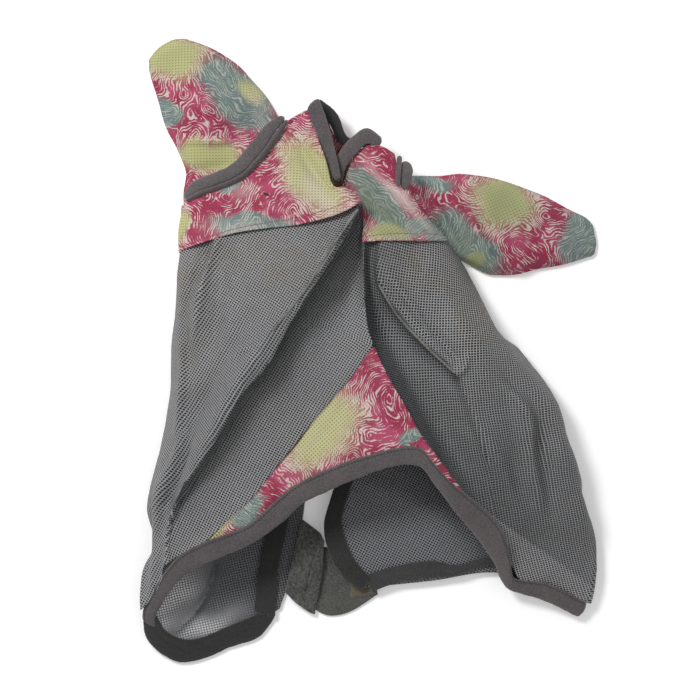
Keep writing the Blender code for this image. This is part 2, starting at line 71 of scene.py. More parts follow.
LEFT_FACE = [
    [(-188, 96, 16), (-188, 60, 12), (-195, 20, 11), (-197, -20, 11), (-203, -70, 11), (-208, -110, 11),
     (-217, -155, 11), (-216, -190, 12), (-223, -220, 14), (-225, -255, 17)],
    [(-189, 98, 22), (-190, 60, 21), (-197, 20, 20), (-199, -20, 20), (-205, -70, 20), (-210, -110, 20),
     (-219, -155, 20), (-218, -190, 19), (-225, -220, 20), (-226, -258, 21)],
    [(-178, 103, 31), (-178, 60, 39), (-184, 20, 42), (-186, -20, 42), (-192, -70, 41), (-199, -110, 38),
     (-209, -155, 34), (-210, -190, 31), (-215, -220, 31), (-216.5, -246, 28.5)],
    [(-105, 120, 50), (-116, 60, 62), (-131, 15, 66), (-149, -30, 65), (-170, -75, 60), (-184, -115, 53),
     (-197, -155, 46), (-203, -190, 42), (-206, -229, 38)],
    [(-26, 134, 58), (-50, 86, 74), (-76, 44, 80), (-100, 10, 83), (-124, -28, 83), (-145, -66, 79),
     (-166, -103, 71), (-186, -142, 59), (-198, -176, 49), (-202, -212, 44)],
    [(-9, 143, 60), (-35, 95, 75), (-59, 57, 81), (-80, 22, 84), (-101, -16, 85), (-126, -44, 83),
     (-146, -80, 78), (-167, -112, 70), (-190, -146, 58), (-200, -180, 49), (-199, -210, 45)],
    [(-7, 139, 53), (-32, 91, 69), (-56, 53, 74), (-77, 18, 76), (-98, -20, 77), (-123, -48, 75),
     (-143, -84, 71), (-164, -116, 64), (-187, -150, 54), (-197, -182, 48), (-197, -208, 45)],
    [(-12, 136, 48), (-39, 88, 60), (-64, 50, 65), (-85, 15, 68), (-106, -23, 69), (-131, -51, 67),
     (-150, -86, 64), (-170, -118, 59), (-190, -152, 51), (-197, -184, 47), (-195, -207, 45)],
    [(-7, 128, 45), (-30, 80, 50), (-52, 46, 56), (-72, 8, 61), (-95, -30, 63), (-118, -58, 62),
     (-138, -92, 59), (-158, -124, 55), (-180, -156, 50), (-190, -186, 47), (-190, -204, 46)],
    [(-7, 118, 44), (-15, 70, 46), (-34, 22, 53), (-58, -30, 58), (-86, -78, 58), (-118, -120, 56),
     (-147, -152, 53), (-168, -180, 51), (-181, -198, 50)],
    NOSE_LINE + GUSSET_LEFT_SEAM,
]

RIGHT_FACE = [
    NOSE_LINE + GUSSET_RIGHT_SEAM,
    [(0, 108, 44), (0, 64, 44), (8, 32, 41), (26, -8, 39), (56, -62, 45), (88, -117, 53), (107, -156, 56)],
    [(6, 108, 46), (6, 66, 47), (22, 32, 44), (46, 4, 45), (74, -22, 49), (97, -76, 54), (114, -125, 55),
     (119, -167, 51)],
    [(12, 108, 50), (10, 70, 57), (28, 38, 59), (51, 11, 60), (80, -16, 61), (105, -72, 59),
     (119, -125, 56), (123, -170, 50)],
    [(35, 108, 48), (58, 62, 55), (85, 20, 59), (108, -20, 59), (126, -60, 56), (138, -110, 51),
     (142, -160, 44), (136, -202, 34)],
    [(55, 108, 41), (82, 62, 49), (107, 20, 51), (135, -20, 52), (160, -60, 49), (174, -110, 46),
     (176, -170, 37), (151, -230, 21)],
    [(70, 108, 31), (95, 64, 37), (120, 20, 39), (157, -24, 39), (183, -70, 38), (202, -120, 37),
     (208, -180, 30), (186, -237, 16)],
    [(77, 108, 20), (95, 78, 18), (109, 50, 17), (125, 19, 17), (149, 0, 17), (179, -50, 17),
     (211, -124, 17), (212, -149, 17), (223, -180, 16), (224, -205, 15), (217, -252, 11)],
    [(76, 107, 14), (94, 76, 11), (107, 48, 10), (123, 17, 10), (147, -2, 10), (177, -52, 10),
     (208, -125, 10), (210, -150, 10), (220, -180, 10), (222, -205, 9), (215, -248, 8)],
]

GUSSET = [
    [(1.5, 2, 61)] + GUSSET_LEFT_SEAM[:-1] + [(-168, -196, 53)],
    [(2, 2, 61.5), (-30, -48, 60.5), (-72, -104, 60.5), (-108, -150, 59.5), (-126, -178, 57)],
    [(2, 2, 61.5), (-22, -50, 62), (-60, -105, 62.5), (-97, -158, 59)],
    [(2.5, 2, 61.5), (-9, -55, 67), (-24, -95, 70), (-34, -121, 68)],
    [(3, 2, 62), (6, -50, 71), (8, -109, 77)],
    [(3.5, 2, 61.3), (14.5, -26, 68.0), (30.5, -60, 75.9), (49, -94, 82.2), (53, -104, 80.0)],
]
GUSSET_SIDE = [
    [(3.5, 1, 61.7), (14, -26, 68.5), (29, -60, 76.5), (47, -94, 83), (62, -113, 80), (76, -131, 74),
     (90, -147, 64)],
    [(3.8, 1, 61.5), (15, -24, 67.5), (33, -54, 75), (51, -88, 80), (66, -109, 78), (80, -127, 73),
     (92, -145, 64)],
    [(4, 2, 61), (15, -22, 66)] + GUSSET_RIGHT_SEAM[1:],
]

LEFT_CROWN = [
    [(-186, 142, 14), (-187, 118, 12), (-188, 96, 14)],
    [(-187, 143, 20), (-189, 118, 20), (-189.5, 97, 21)],
    [(-171, 151, 31), (-175, 128, 32), (-178, 102, 33)],
    [(-131, 167, 40), (-136, 140, 45), (-136, 114, 48.5)],
    [(-104, 189, 43), (-104, 150, 51), (-104, 119, 54)],
    [(-88, 212, 43), (-80, 168, 54), (-68, 123, 60)],
    [(-71, 228, 44), (-52, 180, 57), (-30, 133, 65)],
    [(-62, 234, 44), (-46, 192, 53), (-36, 163, 59), (-22, 158, 66), (-6, 146, 69)],
]
RIGHT_CROWN = [
    [(-28, 162, 36), (-17, 150, 42), (-8, 134, 46), (-8, 106, 51)],
    [(-19, 184, 38), (0, 150, 46), (12, 107, 53.5)],
    [(-7, 200, 38), (14, 155, 50), (34, 107, 53)],
    [(8, 202, 37), (25, 160, 49), (56, 107, 45)],
    [(24, 194, 33), (29, 172, 43), (47, 142, 46), (76, 108, 32)],
]
POLL_BAND = [
    [(-183, 143, 9), (-184, 118, 6), (-182, 94, 9)],
    [(-150, 172, 4), (-140, 130, 3.6), (-135, 90, 3.6)],
    [(-100, 216, 5), (-90, 150, 2.8), (-85, 90, 2.8)],
    [(-52, 240, 18), (-45, 170, 6), (-40, 90, 2.8)],
    [(-30, 206, 18), (-20, 160, 7), (-5, 90, 2.8)],
    [(12, 192, 18), (22, 150, 6.5), (30, 90, 3.8)],
    [(36, 170, 10), (60, 128, 4), (76, 96, 8)],
]
LEFT_CHEEK = [
    [(-185, 88, 12), (-192, 20, 10), (-199, -70, 10), (-213, -155, 10.5), (-212, -190, 11.5),
     (-219, -220, 13.5), (-222, -268, 15)],
    [(-160, 86, 2.9), (-160, 10, 2.9), (-165, -80, 2.9), (-180, -170, 3), (-188, -240, 4), (-193, -296, 5)],
    [(-125, 86, 2), (-125, 0, 2), (-128, -90, 2), (-135, -180, 2), (-145, -240, 2.5), (-150, -292, 3)],
    [(-90, 86, 2), (-90, 0, 2), (-92, -90, 2), (-95, -180, 2.5), (-103, -235, 2.5), (-106, -269, 3)],
    [(-64, 86, 2), (-62, 0, 2), (-62, -90, 2), (-66, -160, 4), (-78, -220, 4), (-90, -258, 4)],
]
RIGHT_CHEEK = [
    [(88, 86, 11), (104, 46, 9), (120, 16, 9), (145, -4, 9), (175, -54, 9), (206, -124, 9),
     (218, -185, 9), (213, -246, 8)],
    [(70, 86, 2.9), (90, 30, 2.9), (125, -30, 2.9), (155, -110, 3), (168, -180, 3.5), (168, -236, 5)],
    [(45, 86, 2), (62, 20, 2), (90, -50, 2.5), (112, -120, 4), (122, -180, 5), (124, -222, 7)],
    [(20, 86, 2), (32, 10, 2), (44, -70, 4), (52, -130, 8), (58, -180, 10), (62, -230, 9)],
    [(-2, 86, 2), (-4, 0, 2), (-12, -80, 5), (-30, -140, 9), (-35, -176, 9.5), (-24, -210, 9.5),
     (-6, -237, 9)],
]
LEFT_EAR = [
    [(-185, 143, 15), (-186, 157, 12), (-184, 178, 10), (-192, 200, 10), (-203, 220, 9.5), (-210, 245, 9),
     (-220, 277, 8), (-221, 290, 7)],
    [(-166, 152, 29), (-170, 170, 17), (-178, 215, 18), (-193, 255, 17), (-212, 301, 9)],
    [(-126, 168, 37), (-140, 196, 18), (-156, 240, 23), (-178, 275, 20), (-199, 309, 9)],
    [(-103, 190, 40), (-116, 216, 18), (-132, 254, 20), (-155, 286, 17), (-190, 311, 9)],
    [(-88, 216, 40), (-93, 234, 16), (-103, 252, 13), (-117, 269, 12), (-133, 286, 11), (-156, 300, 9),
     (-183, 311, 7)],
]
RIGHT_EAR = [
    [(28, 172, 34), (45, 174, 16), (70, 174, 13), (92, 176, 12), (135, 168, 11), (170, 155, 10),
     (200, 140, 9), (220, 128, 8), (226, 112, 7)],
    [(34, 150, 38), (58, 152, 17), (95, 148, 24), (132, 144, 25), (180, 130, 20), (226, 106, 9)],
    [(52, 128, 30), (74, 126, 17), (105, 118, 22), (135, 112, 23), (182, 107, 18), (225, 100, 9)],
    [(74, 104, 24), (90, 100, 15), (120, 92, 19), (150, 91, 19), (187, 94, 14), (224, 96, 8)],
    [(82, 94, 14), (97, 86, 12), (120, 75, 10), (150, 77, 9), (190, 85, 8), (221, 93, 7)],
]

# ---------------------------------------------------------------- edges of the fleece strips

NOSE_BINDING_SEAM = [
    (-226, -271, 14), (-225, -256, 20.5), (-202, -218, 43), (-188, -202, 51), (-163, -188, 58),
    (-120, -171, 60.5), (-93, -147, 62.5), (-71, -130, 65), (-30, -111, 72.5), (-2, -102, 77.5),
    (24, -95, 82.8), (47, -94, 85.5), (60, -108, 84), (76, -126, 79), (93, -140, 69), (119, -162, 57),
    (131, -179, 49), (138, -203, 38), (142, -225, 26), (150, -228, 23), (177, -232, 20), (217, -252, 14)]
NOSE_BINDING_EDGE = [
    (-213, -277, 12), (-213, -264, 18), (-192, -231, 34), (-171, -214, 44), (-149, -204, 50),
    (-119, -191, 54), (-88, -170, 57.5), (-66, -150, 60.5), (-42, -138, 65.5), (-18, -127, 71),
    (22, -113, 77), (47, -113, 80), (62, -130, 72), (80, -155, 62), (100, -179, 47), (115, -199, 34),
    (124, -213, 26), (129, -226, 20), (137, -237, 17), (150, -242, 16), (172, -249, 14), (209, -267, 8)]
LEFT_RING = (
    [(-182, 149, 27), (-168, 157, 37), (-130, 172, 45), (-107, 195, 48), (-94, 214, 49), (-83, 227, 46)],
    [(-185, 153, 23), (-175, 166, 30), (-138, 182, 38), (-117, 204, 42), (-102, 222, 44), (-87, 231, 43)])
LEFT_PIPING = (
    [(-182, 146, 26), (-166, 153, 33), (-127, 167, 41), (-103, 191, 45), (-89, 210, 46), (-81, 224, 44)],
    [(-183, 150, 28), (-169, 156.5, 37), (-130, 171.5, 45), (-106.5, 195, 48.5), (-93, 214, 49.5),
     (-82, 227, 46)])
RIGHT_RING = (
    [(31, 187, 36), (30, 178, 42), (29.5, 169, 46), (30.5, 157, 48)],
    [(39, 185, 32), (41.5, 178, 36), (40, 168, 41), (35, 156, 47)])
RIGHT_PIPING = (
    [(26.5, 192, 35), (25.5, 184, 40), (24.5, 174, 46), (25.5, 161, 50)],
    [(31.5, 191, 35), (31, 183, 41), (30, 173, 47), (29.5, 160, 51)])
POLL_LEFT = (
    [(-63, 239, 44), (-53, 213, 48), (-45, 190, 51), (-34, 165, 55)],
    [(-51, 250, 38), (-41, 220, 40), (-34, 193, 43), (-29, 167, 50)])
POLL_RIGHT = (
    [(-28, 163, 42), (-23, 181, 41), (-12, 195, 41), (-3, 203, 39), (8, 199, 36)],
    [(-39, 176, 37), (-31, 195, 37), (-18, 210, 37), (-4, 219, 35), (13, 209, 31)])
POLL_REAR = (
    [(-57, 240, 24), (-41, 225, 22), (-31, 206, 20), (-14, 202, 19), (8, 200, 20)],
    [(-51, 250, 26), (-33, 235, 25), (-22, 211, 23), (-8, 212, 22), (10, 206, 22)])
LEFT_HEM = (
    [(-226, -256, 18), (-224, -284, 10.5), (-209, -303, 6), (-188, -312, 4.5), (-163, -307, 4),
     (-137, -296, 4), (-113, -288, 4), (-102, -277, 4), (-93, -262, 4.5)],
    [(-212, -265, 15.5), (-204, -279, 10), (-193, -286, 7), (-180, -289, 5), (-163, -285, 4.5),
     (-137, -274, 4.5), (-118, -266, 4.5), (-112, -262, 5), (-110, -256, 5.5)])
LEFT_TRIM = (
    [(-86, 84, 5), (-86, 0, 5), (-92, -90, 5), (-102, -170, 5.5), (-112, -222, 6.5), (-116, -262, 7)],
    [(-66, 84, 5), (-66, 0, 5), (-72, -90, 5), (-82, -174, 6.5), (-92, -222, 7), (-95, -268, 7)])
RIGHT_HEM = (
    [(-8, -225, 12), (19, -217, 12), (58, -210, 12), (88, -214, 11), (122, -206, 10), (165, -226, 8),
     (203, -240, 9)],
    [(2, -241, 10), (24, -233, 10), (58, -228, 10), (88, -225, 10), (122, -215, 9), (163, -241, 7),
     (206, -254, 7)])
RIGHT_TRIM = (
    [(-3, 84, 5), (-6, 0, 5), (-17, -80, 9), (-40, -149, 13), (-46, -176, 13), (-41, -202, 13),
     (-28, -224, 13), (-9, -240, 12)],
    [(17, 84, 5), (13, 0, 5), (0, -80, 9), (-23, -149, 13), (-28, -171, 13.5), (-25, -188, 13.5),
     (-16, -208, 13), (2, -228, 12)])
JAW_TAB_LEFT = [
    [(-68, -168, 11), (-76, -205, 11.5), (-85, -241, 9.5)],
    [(-56, -177, 12.5), (-65, -213, 13.5), (-73, -253, 9)],
    [(-49, -183, 11.5), (-53, -218, 12.5), (-60, -262, 7)],
    [(-46, -190, 8.5), (-48, -222, 8.5), (-55, -264, 6)],
]
JAW_TAB_RIGHT = [
    [(-60, -196, 3), (-62, -225, 3), (-66, -252, 3)],
    [(-40, -198, 4.5), (-40, -235, 4), (-43, -265, 3)],
    [(-20, -214, 3.5), (-18, -240, 4), (-21, -262, 3)],
    [(2, -226, 3), (5, -238, 3), (8, -244, 3)],
]
HOOK_PATCH = [
    [(-22, -221, 5.4), (-19, -248, 5.2)],
    [(6, -233, 5.6), (7.5, -243, 5.4)],
]
THROAT_TAB = [
    [(-60, 62, 3.6), (-60, 22, 3.6)],
    [(-8, 62, 5.2), (-8, 22, 5.2)],
    [(-5.5, 62, 5.6), (-5.5, 22, 5.6)],
]
THROAT_HOOK = [
    [(-56, 58, 5.9), (-56, 26, 5.9)],
    [(-14, 58, 7.2), (-14, 26, 7.2)],
]

# ---------------------------------------------------------------- folds and shades

# Each fold is (its path in plan, its width, its height).
FOLDS = {
    "mesh_left": [
        ([(-10, 140), (-42, 92), (-62, 58), (-84, 30)], 2.4, 2.4),
        ([(-86, 34), (-95, 22), (-104, 6)], 5.0, 4.5),
        ([(-104, 6), (-133, -40), (-152, -74), (-168, -104)], 6.0, 4.0),
        ([(-118, 34), (-146, -15), (-176, -75), (-196, -130)], 8.0, -6.0),
        ([(-147, 116), (-160, 80), (-166, 52), (-174, 8)], 4.2, 6.0),
        ([(-174, -84), (-187, -116), (-201, -152)], 3.4, -5.5),
        ([(-184, -82), (-198, -118), (-210, -158)], 3.6, 5.0),
        ([(-187, 6), (-184, -34), (-190, -84)], 4.0, 6.5),
        ([(-162, 102), (-174, 66), (-184, 30), (-178, -20)], 6.0, -5.0),
        ([(-140, 100), (-150, 50), (-156, 6), (-166, -40)], 8.0, -4.0),
        ([(-134, -8), (-122, 0), (-108, 4)], 3.0, 2.0),
        ([(-205, -110), (-210, -180), (-216, -235)], 5.0, 5.0),
        ([(-213, -150), (-218, -200), (-222, -240)], 4.0, -3.5)],
    "mesh_right": [
        ([(10, 68), (28, 38), (51, 11), (82, -20)], 2.6, 2.5),
        ([(18, 74), (38, 46), (58, 16)], 4.0, 3.5),
        ([(62, 20), (74, 4), (86, -10)], 4.0, -3.0),
        ([(82, -24), (90, -20), (95, -6)], 3.5, 4.0),
        ([(70, 60), (90, 20), (112, -20)], 10.0, 4.0),
        ([(130, -34), (154, -64), (160, -110), (166, -156)], 5.0, 4.5),
        ([(138, -24), (165, -60), (172, -110), (178, -160)], 6.0, -5.0),
        ([(150, 4), (182, -60), (194, -130)], 8.0, 3.5),
        ([(120, 20), (138, -60), (146, -150)], 10.0, -3.0),
        ([(100, -60), (125, -110), (150, -170)], 8.0, 4.0)],
    "crown_left": [
        ([(-72, 204), (-55, 174), (-30, 152)], 7.0, -7.0),
        ([(-92, 200), (-76, 166), (-50, 142)], 8.0, 2.5),
        ([(-50, 210), (-38, 178), (-22, 160)], 5.0, 3.0),
        ([(-170, 135), (-120, 152), (-90, 150)], 8.0, 1.2)],
    "crown_right": [
        ([(-10, 170), (14, 142), (40, 118)], 6.0, -4.0),
        ([(4, 178), (30, 150), (62, 118)], 5.0, 3.0)],
    "ear_left": [
        ([(-190, 207), (-160, 207), (-132, 205)], 3.0, 2.5),
        ([(-180, 178), (-150, 182), (-115, 190)], 6.0, -3.0),
        ([(-168, 300), (-130, 274), (-100, 238)], 1.6, -1.6),
        ([(-150, 200), (-165, 240), (-185, 280)], 12.0, 3.0)],
    "ear_right": [
        ([(47, 170), (66, 140), (80, 108)], 5.0, -4.0),
        ([(86, 171), (104, 120), (128, 78)], 5.0, -5.5),
        ([(66, 168), (84, 130), (98, 90)], 6.0, 4.5),
        ([(110, 150), (128, 110), (150, 80)], 9.0, 4.0),
        ([(150, 155), (180, 130), (200, 100)], 10.0, 2.5)],
    "cheek_left": [([(-149, -200), (-158, -232), (-174, -262), (-192, -280)], 2.6, 3.0)],
    "cheek_right": [
        ([(60, -112), (84, -144), (104, -182), (124, -214)], 3.0, 4.5),
        ([(-10, -130), (40, -150), (100, -190)], 10.0, 2.0)],
    "tab_left": [
        ([(-52, -184), (-58, -214), (-66, -250)], 2.4, -3.0),
        ([(-70, -190), (-62, -206), (-50, -212)], 2.4, 2.2),
        ([(-80, -226), (-68, -234), (-58, -232)], 2.4, 2.0)]}
# Each panel's rails, its rows and columns, and its ripples: (size, height, seed).
PANELS = {
    "mesh_left": (LEFT_FACE, 200, 150, [(48.0, 5.0, 3.0), (13.0, 0.5, 9.0)]),
    "mesh_right": (RIGHT_FACE, 200, 150, [(48.0, 5.0, 5.0), (13.0, 0.5, 11.0)]),
    "gusset": (GUSSET, 110, 90, [(22.0, 1.0, 2.0)]),
    "gusset_turn": (GUSSET_SIDE, 90, 16, []),
    "crown_left": (LEFT_CROWN, 80, 120, [(26.0, 1.6, 1.0)]),
    "crown_right": (RIGHT_CROWN, 80, 90, [(24.0, 1.4, 4.0)]),
    "poll_rear": (POLL_BAND, 60, 110, [(40.0, 1.0, 6.0)]),
    "ear_left": (LEFT_EAR, 130, 90, [(34.0, 2.2, 7.0)]),
    "ear_right": (RIGHT_EAR, 130, 90, [(34.0, 2.2, 7.0)]),
    "cheek_left": (LEFT_CHEEK, 180, 80, [(40.0, 0.6, 12.0)]),
    "cheek_right": (RIGHT_CHEEK, 170, 90, [(40.0, 0.8, 14.0)]),
    "tab_left": (JAW_TAB_LEFT, 60, 40, [(10.0, 1.4, 20.0)]),
    "tab_right": (JAW_TAB_RIGHT, 40, 50, [(12.0, 0.5, 21.0)]),
    "hook_jaw": (HOOK_PATCH, 16, 16, []),
    "tab_throat": (THROAT_TAB, 24, 30, []),
    "hook_throat": (THROAT_HOOK, 16, 20, [])}
# The sewn-in ends of the eye darts.
DARTS = {"left": [(-12, 138), (-43, 92), (-64, 58), (-86, 30), (-96, 18)],
         "right": [(8, 64), (26, 35), (50, 8), (83, -23)]}


def plan(rail):
    return [point[:2] for point in rail]


# Painted shade on the sunken sides of folds, where little light gets in: (path, reach at its start, reach at
# its end, strength).
# They lie on the left of the path or, where the strength is negative, on its right.
CREST = plan(LEFT_FACE[5][:-2])
NOSE_FOLD = plan(RIGHT_FACE[0])
SHADES = {
    "mesh_left": [
        (CREST, 24.0, 9.0, 0.92),
        (CREST, 60.0, 30.0, -0.24),
        ([(-150, 112), (-163, 80), (-170, 52), (-178, 8)], 10.0, 16.0, -0.20),
        ([(-176, -80), (-189, -114), (-203, -150)], 8.0, 6.0, -0.35)],
    "mesh_right": [
        (NOSE_FOLD[:-1], 34.0, 13.0, 0.74),
        (NOSE_FOLD[3:] + [(119, -162)], 16.0, 130.0, 0.58),
        ([(173, -160), (166, -110), (160, -62), (134, -28)], 7.0, 9.0, 0.42),
        ([(4, 90), (8, 66), (26, 34), (49, 7), (86, -26)], 10.0, 14.0, -0.65)],
    "cheek_left": [(FOLDS["cheek_left"][0][0], 5.0, 5.0, 0.97)],
    "cheek_right": [(FOLDS["cheek_right"][0][0], 9.0, 9.0, -0.6)]}

# ---------------------------------------------------------------- the printed pattern and the stains

# Each blob is (x, y, long radius, short radius, direction of the long one in degrees) and, where it isn't 1,
# its strength.
PRINT_BLOBS = {
    "lime": [
        (-170, 193, 21, 17, -8), (-148, 190, 20, 17, 8), (-197, 292, 34, 22, 0), (-118, 258, 15, 10, -50),
        (-57, 170, 44, 24, -56), (-187, 120, 18, 8, 80),
        (16, 115, 22, 8, -8), (132, 148, 30, 27, -20), (105, 89, 11, 8, 0),
        (-48, -78, 44, 28, 45), (-151, -177, 18, 8, 40)],
    "teal": [
        (-132, 253, 46, 24, -45), (-204, 236, 16, 13, 0), (-117, 122, 40, 12, -5), (-137, 161, 9, 6, 0),
        (10, 144, 44, 15, -50), (40, 122, 22, 9, -10), (66, 118, 14, 10, 0),
        (95, 106, 44, 19, -42), (211, 112, 30, 22, 75), (58, 167, 24, 8, -12),
        (-123, -157, 20, 14, 40), (37, -84, 11, 7, 0)],
    "worn": [(-100, 153, 3.4, 1.4, 0)],
    # Pale: faded spots of the print, but the narrow one at (29, 150) is a painted highlight along the right
    # crown's ridge fold.
    "pale": [
        (-48, -78, 40, 26, 45, 0.5), (-127, 116, 30, 9, -5), (42, 112, 16, 7, 0, 0.6), (-128, 158, 12, 8, 0),
        (-110, 250, 14, 10, -45), (-50, 152, 32, 12, -58, 1.5), (29, 150, 36, 4.5, -47, 2.2)],
    # Painted shade on the print: darker middles of lime and teal patches on the ears and right crown, and a
    # strip along the right crown's valley fold.
    "painted_print_shade": [
        (-197, 294, 30, 16, 0, 0.6), (132, 148, 30, 24, -20, 1.3), (92, 104, 30, 12, -40),
        (8, 140, 34, 9, -52, 2.0), (16, 118, 24, 10, -8, 1.2), (105, 89, 13, 10, 0, 1.6)]}
STAINS = [(-98, 84, 62, 24, 0), (-190, 40, 22, 60, 0), (45, 72, 42, 22, -50), (90, 40, 22, 50, 30)]
# Painted light: where the cheek lies in one layer over the floor, its holes are made opaque and painted the
# floor's pale colour instead of letting the shaded floor through.
PAINTED_LIGHT_SPOTS = [(-200, -250, 44, 17, 50), (-168, -278, 34, 9, 20, 0.75)]
BLOB_SWAY = 2.5
BLOB_SWAY_SIZES = (6.0, 7.0)
BLOB_FALL = 0.9

# The lines of the print run round short strokes at these places.
FOCI = [
    (-206, 236), (-157, 236), (-186, 262), (-178, 208), (-128, 214), (-170, 158), (-112, 284),
    (-137, 158), (-100, 196), (-70, 236), (-72, 128), (-160, 122), (-30, 128),
    (-4, 186), (18, 178), (48, 160), (55, 120), (184, 131), (156, 97),
    (150, 160), (108, 172), (10, -83), (-88, -128), (20, -52), (-20, -116), (60, -106), (82, -132)]
LINE_PITCH = 2.35
FOCUS_LENGTH = 9.0
FOCUS_BLUR = 3.0
GOLDEN_TURN = 2.4

# ---------------------------------------------------------------- sizes and colours

MESH_THICK = 0.7
KNIT_THICK = 0.9
FLEECE_THICK = 4.6
PIPING_THICK = 4.4
TRIM_THICK = 3.4
DART_THICK = 1.3
DART_REACH = 1.1
DART_LIFT = 0.6
EAR_BACK_HEIGHT = 2.3
EAR_BACK_RISE = 0.03
EAR_EDGE_HEIGHT = 4.2
EAR_EDGE_REACH = 5.0
EAR_ROOT_SHARE = 0.14
EAR_BACK_SHARE = 0.16
CURVE_STEPS = 10
CREASE_POINTS = 24
SHADE_POINTS = 30
# A hem is folded over: its outer strip and its inner one overlap between two shares of its width.
FOLD_POINTS = 40
FOLD_SHARES = (0.54, 0.68)
NOSE_SEAM_SHARE = 0.14
NOSE_SEAM_LIFT = 2.1
HEM_STITCH_LIFT = 0.7
# A fleece strip's pile, fine and coarse, how much the coarse one counts, and how the strip's ends thin out.
PILE_SIZES = (2.2, 9.0)
COARSE_SHARE = 1.4
COARSE_SEED = 7.0
END_ROWS = 2.0
END_THICK = 0.35
PAD_EDGE_SHARE = 1 / 7
PAD_LUMP_SIZE = 5.0
STITCH_PITCH = 3.4
STITCH_LENGTH = 2.5
STITCH_RADIUS = 0.32
STITCH_SWELLS = ((0.0, 0.35), (0.2, 0.95), (0.5, 1.15), (0.8, 0.95), (1.0, 0.35))
FLATTEN_NODES = 26
FLATTEN_ROUNDS = 24
CELL_TIES = ((0, 1), (1, 2), (2, 3), (3, 0), (0, 2), (1, 3))

WEAVE_ACROSS = 2.7
WEAVE_ALONG = 2.45
PORES_ACROSS = 3.1
PORES_ALONG = 2.9
# The colours of the threads and the holes (a painted shade), how clear the holes are, and how much the
# stains show.
WOVEN = {
    "woven_mesh": ((0.285, 0.28, 0.288), (0.006, 0.012, 0.013), 0.25, 1.0),
    # The inner and loop meshes are the face mesh with darker threads: painted shade for the cheek flaps
    # inside the mask.
    "woven_mesh_inner_painted_shade": ((0.20, 0.20, 0.215), (0.006, 0.01, 0.011), 0.12, 0.2),
    "woven_mesh_loop_painted_shade": ((0.13, 0.13, 0.14), (0.006, 0.01, 0.011), 0.18, 0.2)}
STAIN_TINT = (0.93, 0.82, 0.60)
PAINTED_FLOOR_LIGHT = (0.85, 0.85, 0.86)
# The colour, the size and depth of the tufts, and how far their shades spread.
PILES = {
    "warm_grey_fleece": ((0.082, 0.069, 0.071), 1.5, 0.5, 0.35),
    "dark_fleece": ((0.019, 0.0185, 0.019), 1.5, 0.5, 0.4),
    "inner_fleece": ((0.012, 0.0125, 0.0115), 1.8, 0.6, 0.5),
    "hem_fleece": ((0.031, 0.0295, 0.031), 1.7, 0.5, 0.4),
    "mesh_seam": ((0.16, 0.155, 0.145), 1.2, 0.4, 0.5),
    "loop_pile_cloth": ((0.064, 0.064, 0.057), 1.4, 0.7, 0.5),
    "brushed_pile_cloth": ((0.064, 0.064, 0.057), 2.6, 1.6, 0.6),
    "hook_tape_cloth": ((0.10, 0.085, 0.055), 1.2, 0.4, 0.5)}
PINK_THREAD = (0.33, 0.12, 0.16)
GREY_THREAD = (0.05, 0.045, 0.05)
RASPBERRY = (0.285, 0.009, 0.058)
ROSE = (0.40, 0.050, 0.125)
CREAM = (0.62, 0.52, 0.49)
LIME_TINT = (0.435, 0.435, 0.193)
LIME_DARK = (0.180, 0.180, 0.074)
PAINTED_PRINT_SHADE_TINT = (0.125, 0.155, 0.095)
TEAL_TINT = (0.11, 0.19, 0.185)
PALE_TEAL = (0.34, 0.385, 0.34)
LILAC = (0.410, 0.353, 0.459)
NEAR_BLACK = (0.012, 0.01, 0.012)
FLOOR_LIGHT = 0.18
# The slot of each material. The sewing threads have none.
SLOTS = {
    "woven_mesh": "face_mesh", "woven_mesh_inner_painted_shade": "face_mesh", "woven_mesh_loop_painted_shade": "face_mesh",
    "mesh_seam": "face_mesh", "printed_knit": "print_cloth", "warm_grey_fleece": "fleece_binding",
    "dark_fleece": "fleece_binding", "inner_fleece": "fleece_inner", "hem_fleece": "fleece_inner",
    "loop_pile_cloth": "loop_pile", "brushed_pile_cloth": "loop_pile", "hook_tape_cloth": "hook_tape"}

# ---------------------------------------------------------------- curves and grids


def travelled(line):
    """The distance along a polyline at each of its points."""
    return np.concatenate([[0.0], np.cumsum(np.linalg.norm(np.diff(line, axis=0), axis=1))])


def points_at(line, stations, wanted):
    return np.stack([np.interp(wanted, stations, line[:, axis]) for axis in range(line.shape[1])], axis=1)


def smooth_line(points):
    """A fine polyline along a smooth curve through the points."""
    nodes = np.array(points, float)
    stations = travelled(nodes)
    last = len(nodes) - 1
    before = np.maximum(np.arange(last + 1) - 1, 0)
    after = np.minimum(np.arange(last + 1) + 1, last)
    slopes = (nodes[after] - nodes[before]) / (stations[after] - stations[before])[:, None]
    t = (np.arange(CURVE_STEPS) / CURVE_STEPS)[None, :, None]
    spans = np.diff(stations)[:, None, None]
    pieces = (nodes[:-1, None] * (2 * t**3 - 3 * t**2 + 1)
              + slopes[:-1, None] * spans * (t**3 - 2 * t**2 + t)
              + nodes[1:, None] * (3 * t**2 - 2 * t**3)
              + slopes[1:, None] * spans * (t**3 - t**2))
    return np.vstack([pieces.reshape(-1, nodes.shape[1]), nodes[-1:]])


def even(points, count):
    """Points at equal distances along the smooth curve."""
    line = smooth_line(points)
    stations = travelled(line)
    return points_at(line, stations, np.linspace(0.0, 1.0, count) * stations[-1])


def loft(rails, rows, columns):
    along = np.stack([even(rail, rows) for rail in rails], axis=1)
    return np.stack([even(along[row], columns) for row in range(rows)])


def normals_of(grid):
    normals = np.cross(np.gradient(grid, axis=1), np.gradient(grid, axis=0))
    normals /= np.maximum(np.linalg.norm(normals, axis=2, keepdims=True), 1e-9)
    return normals if normals[..., 2].sum() > 0 else -normals


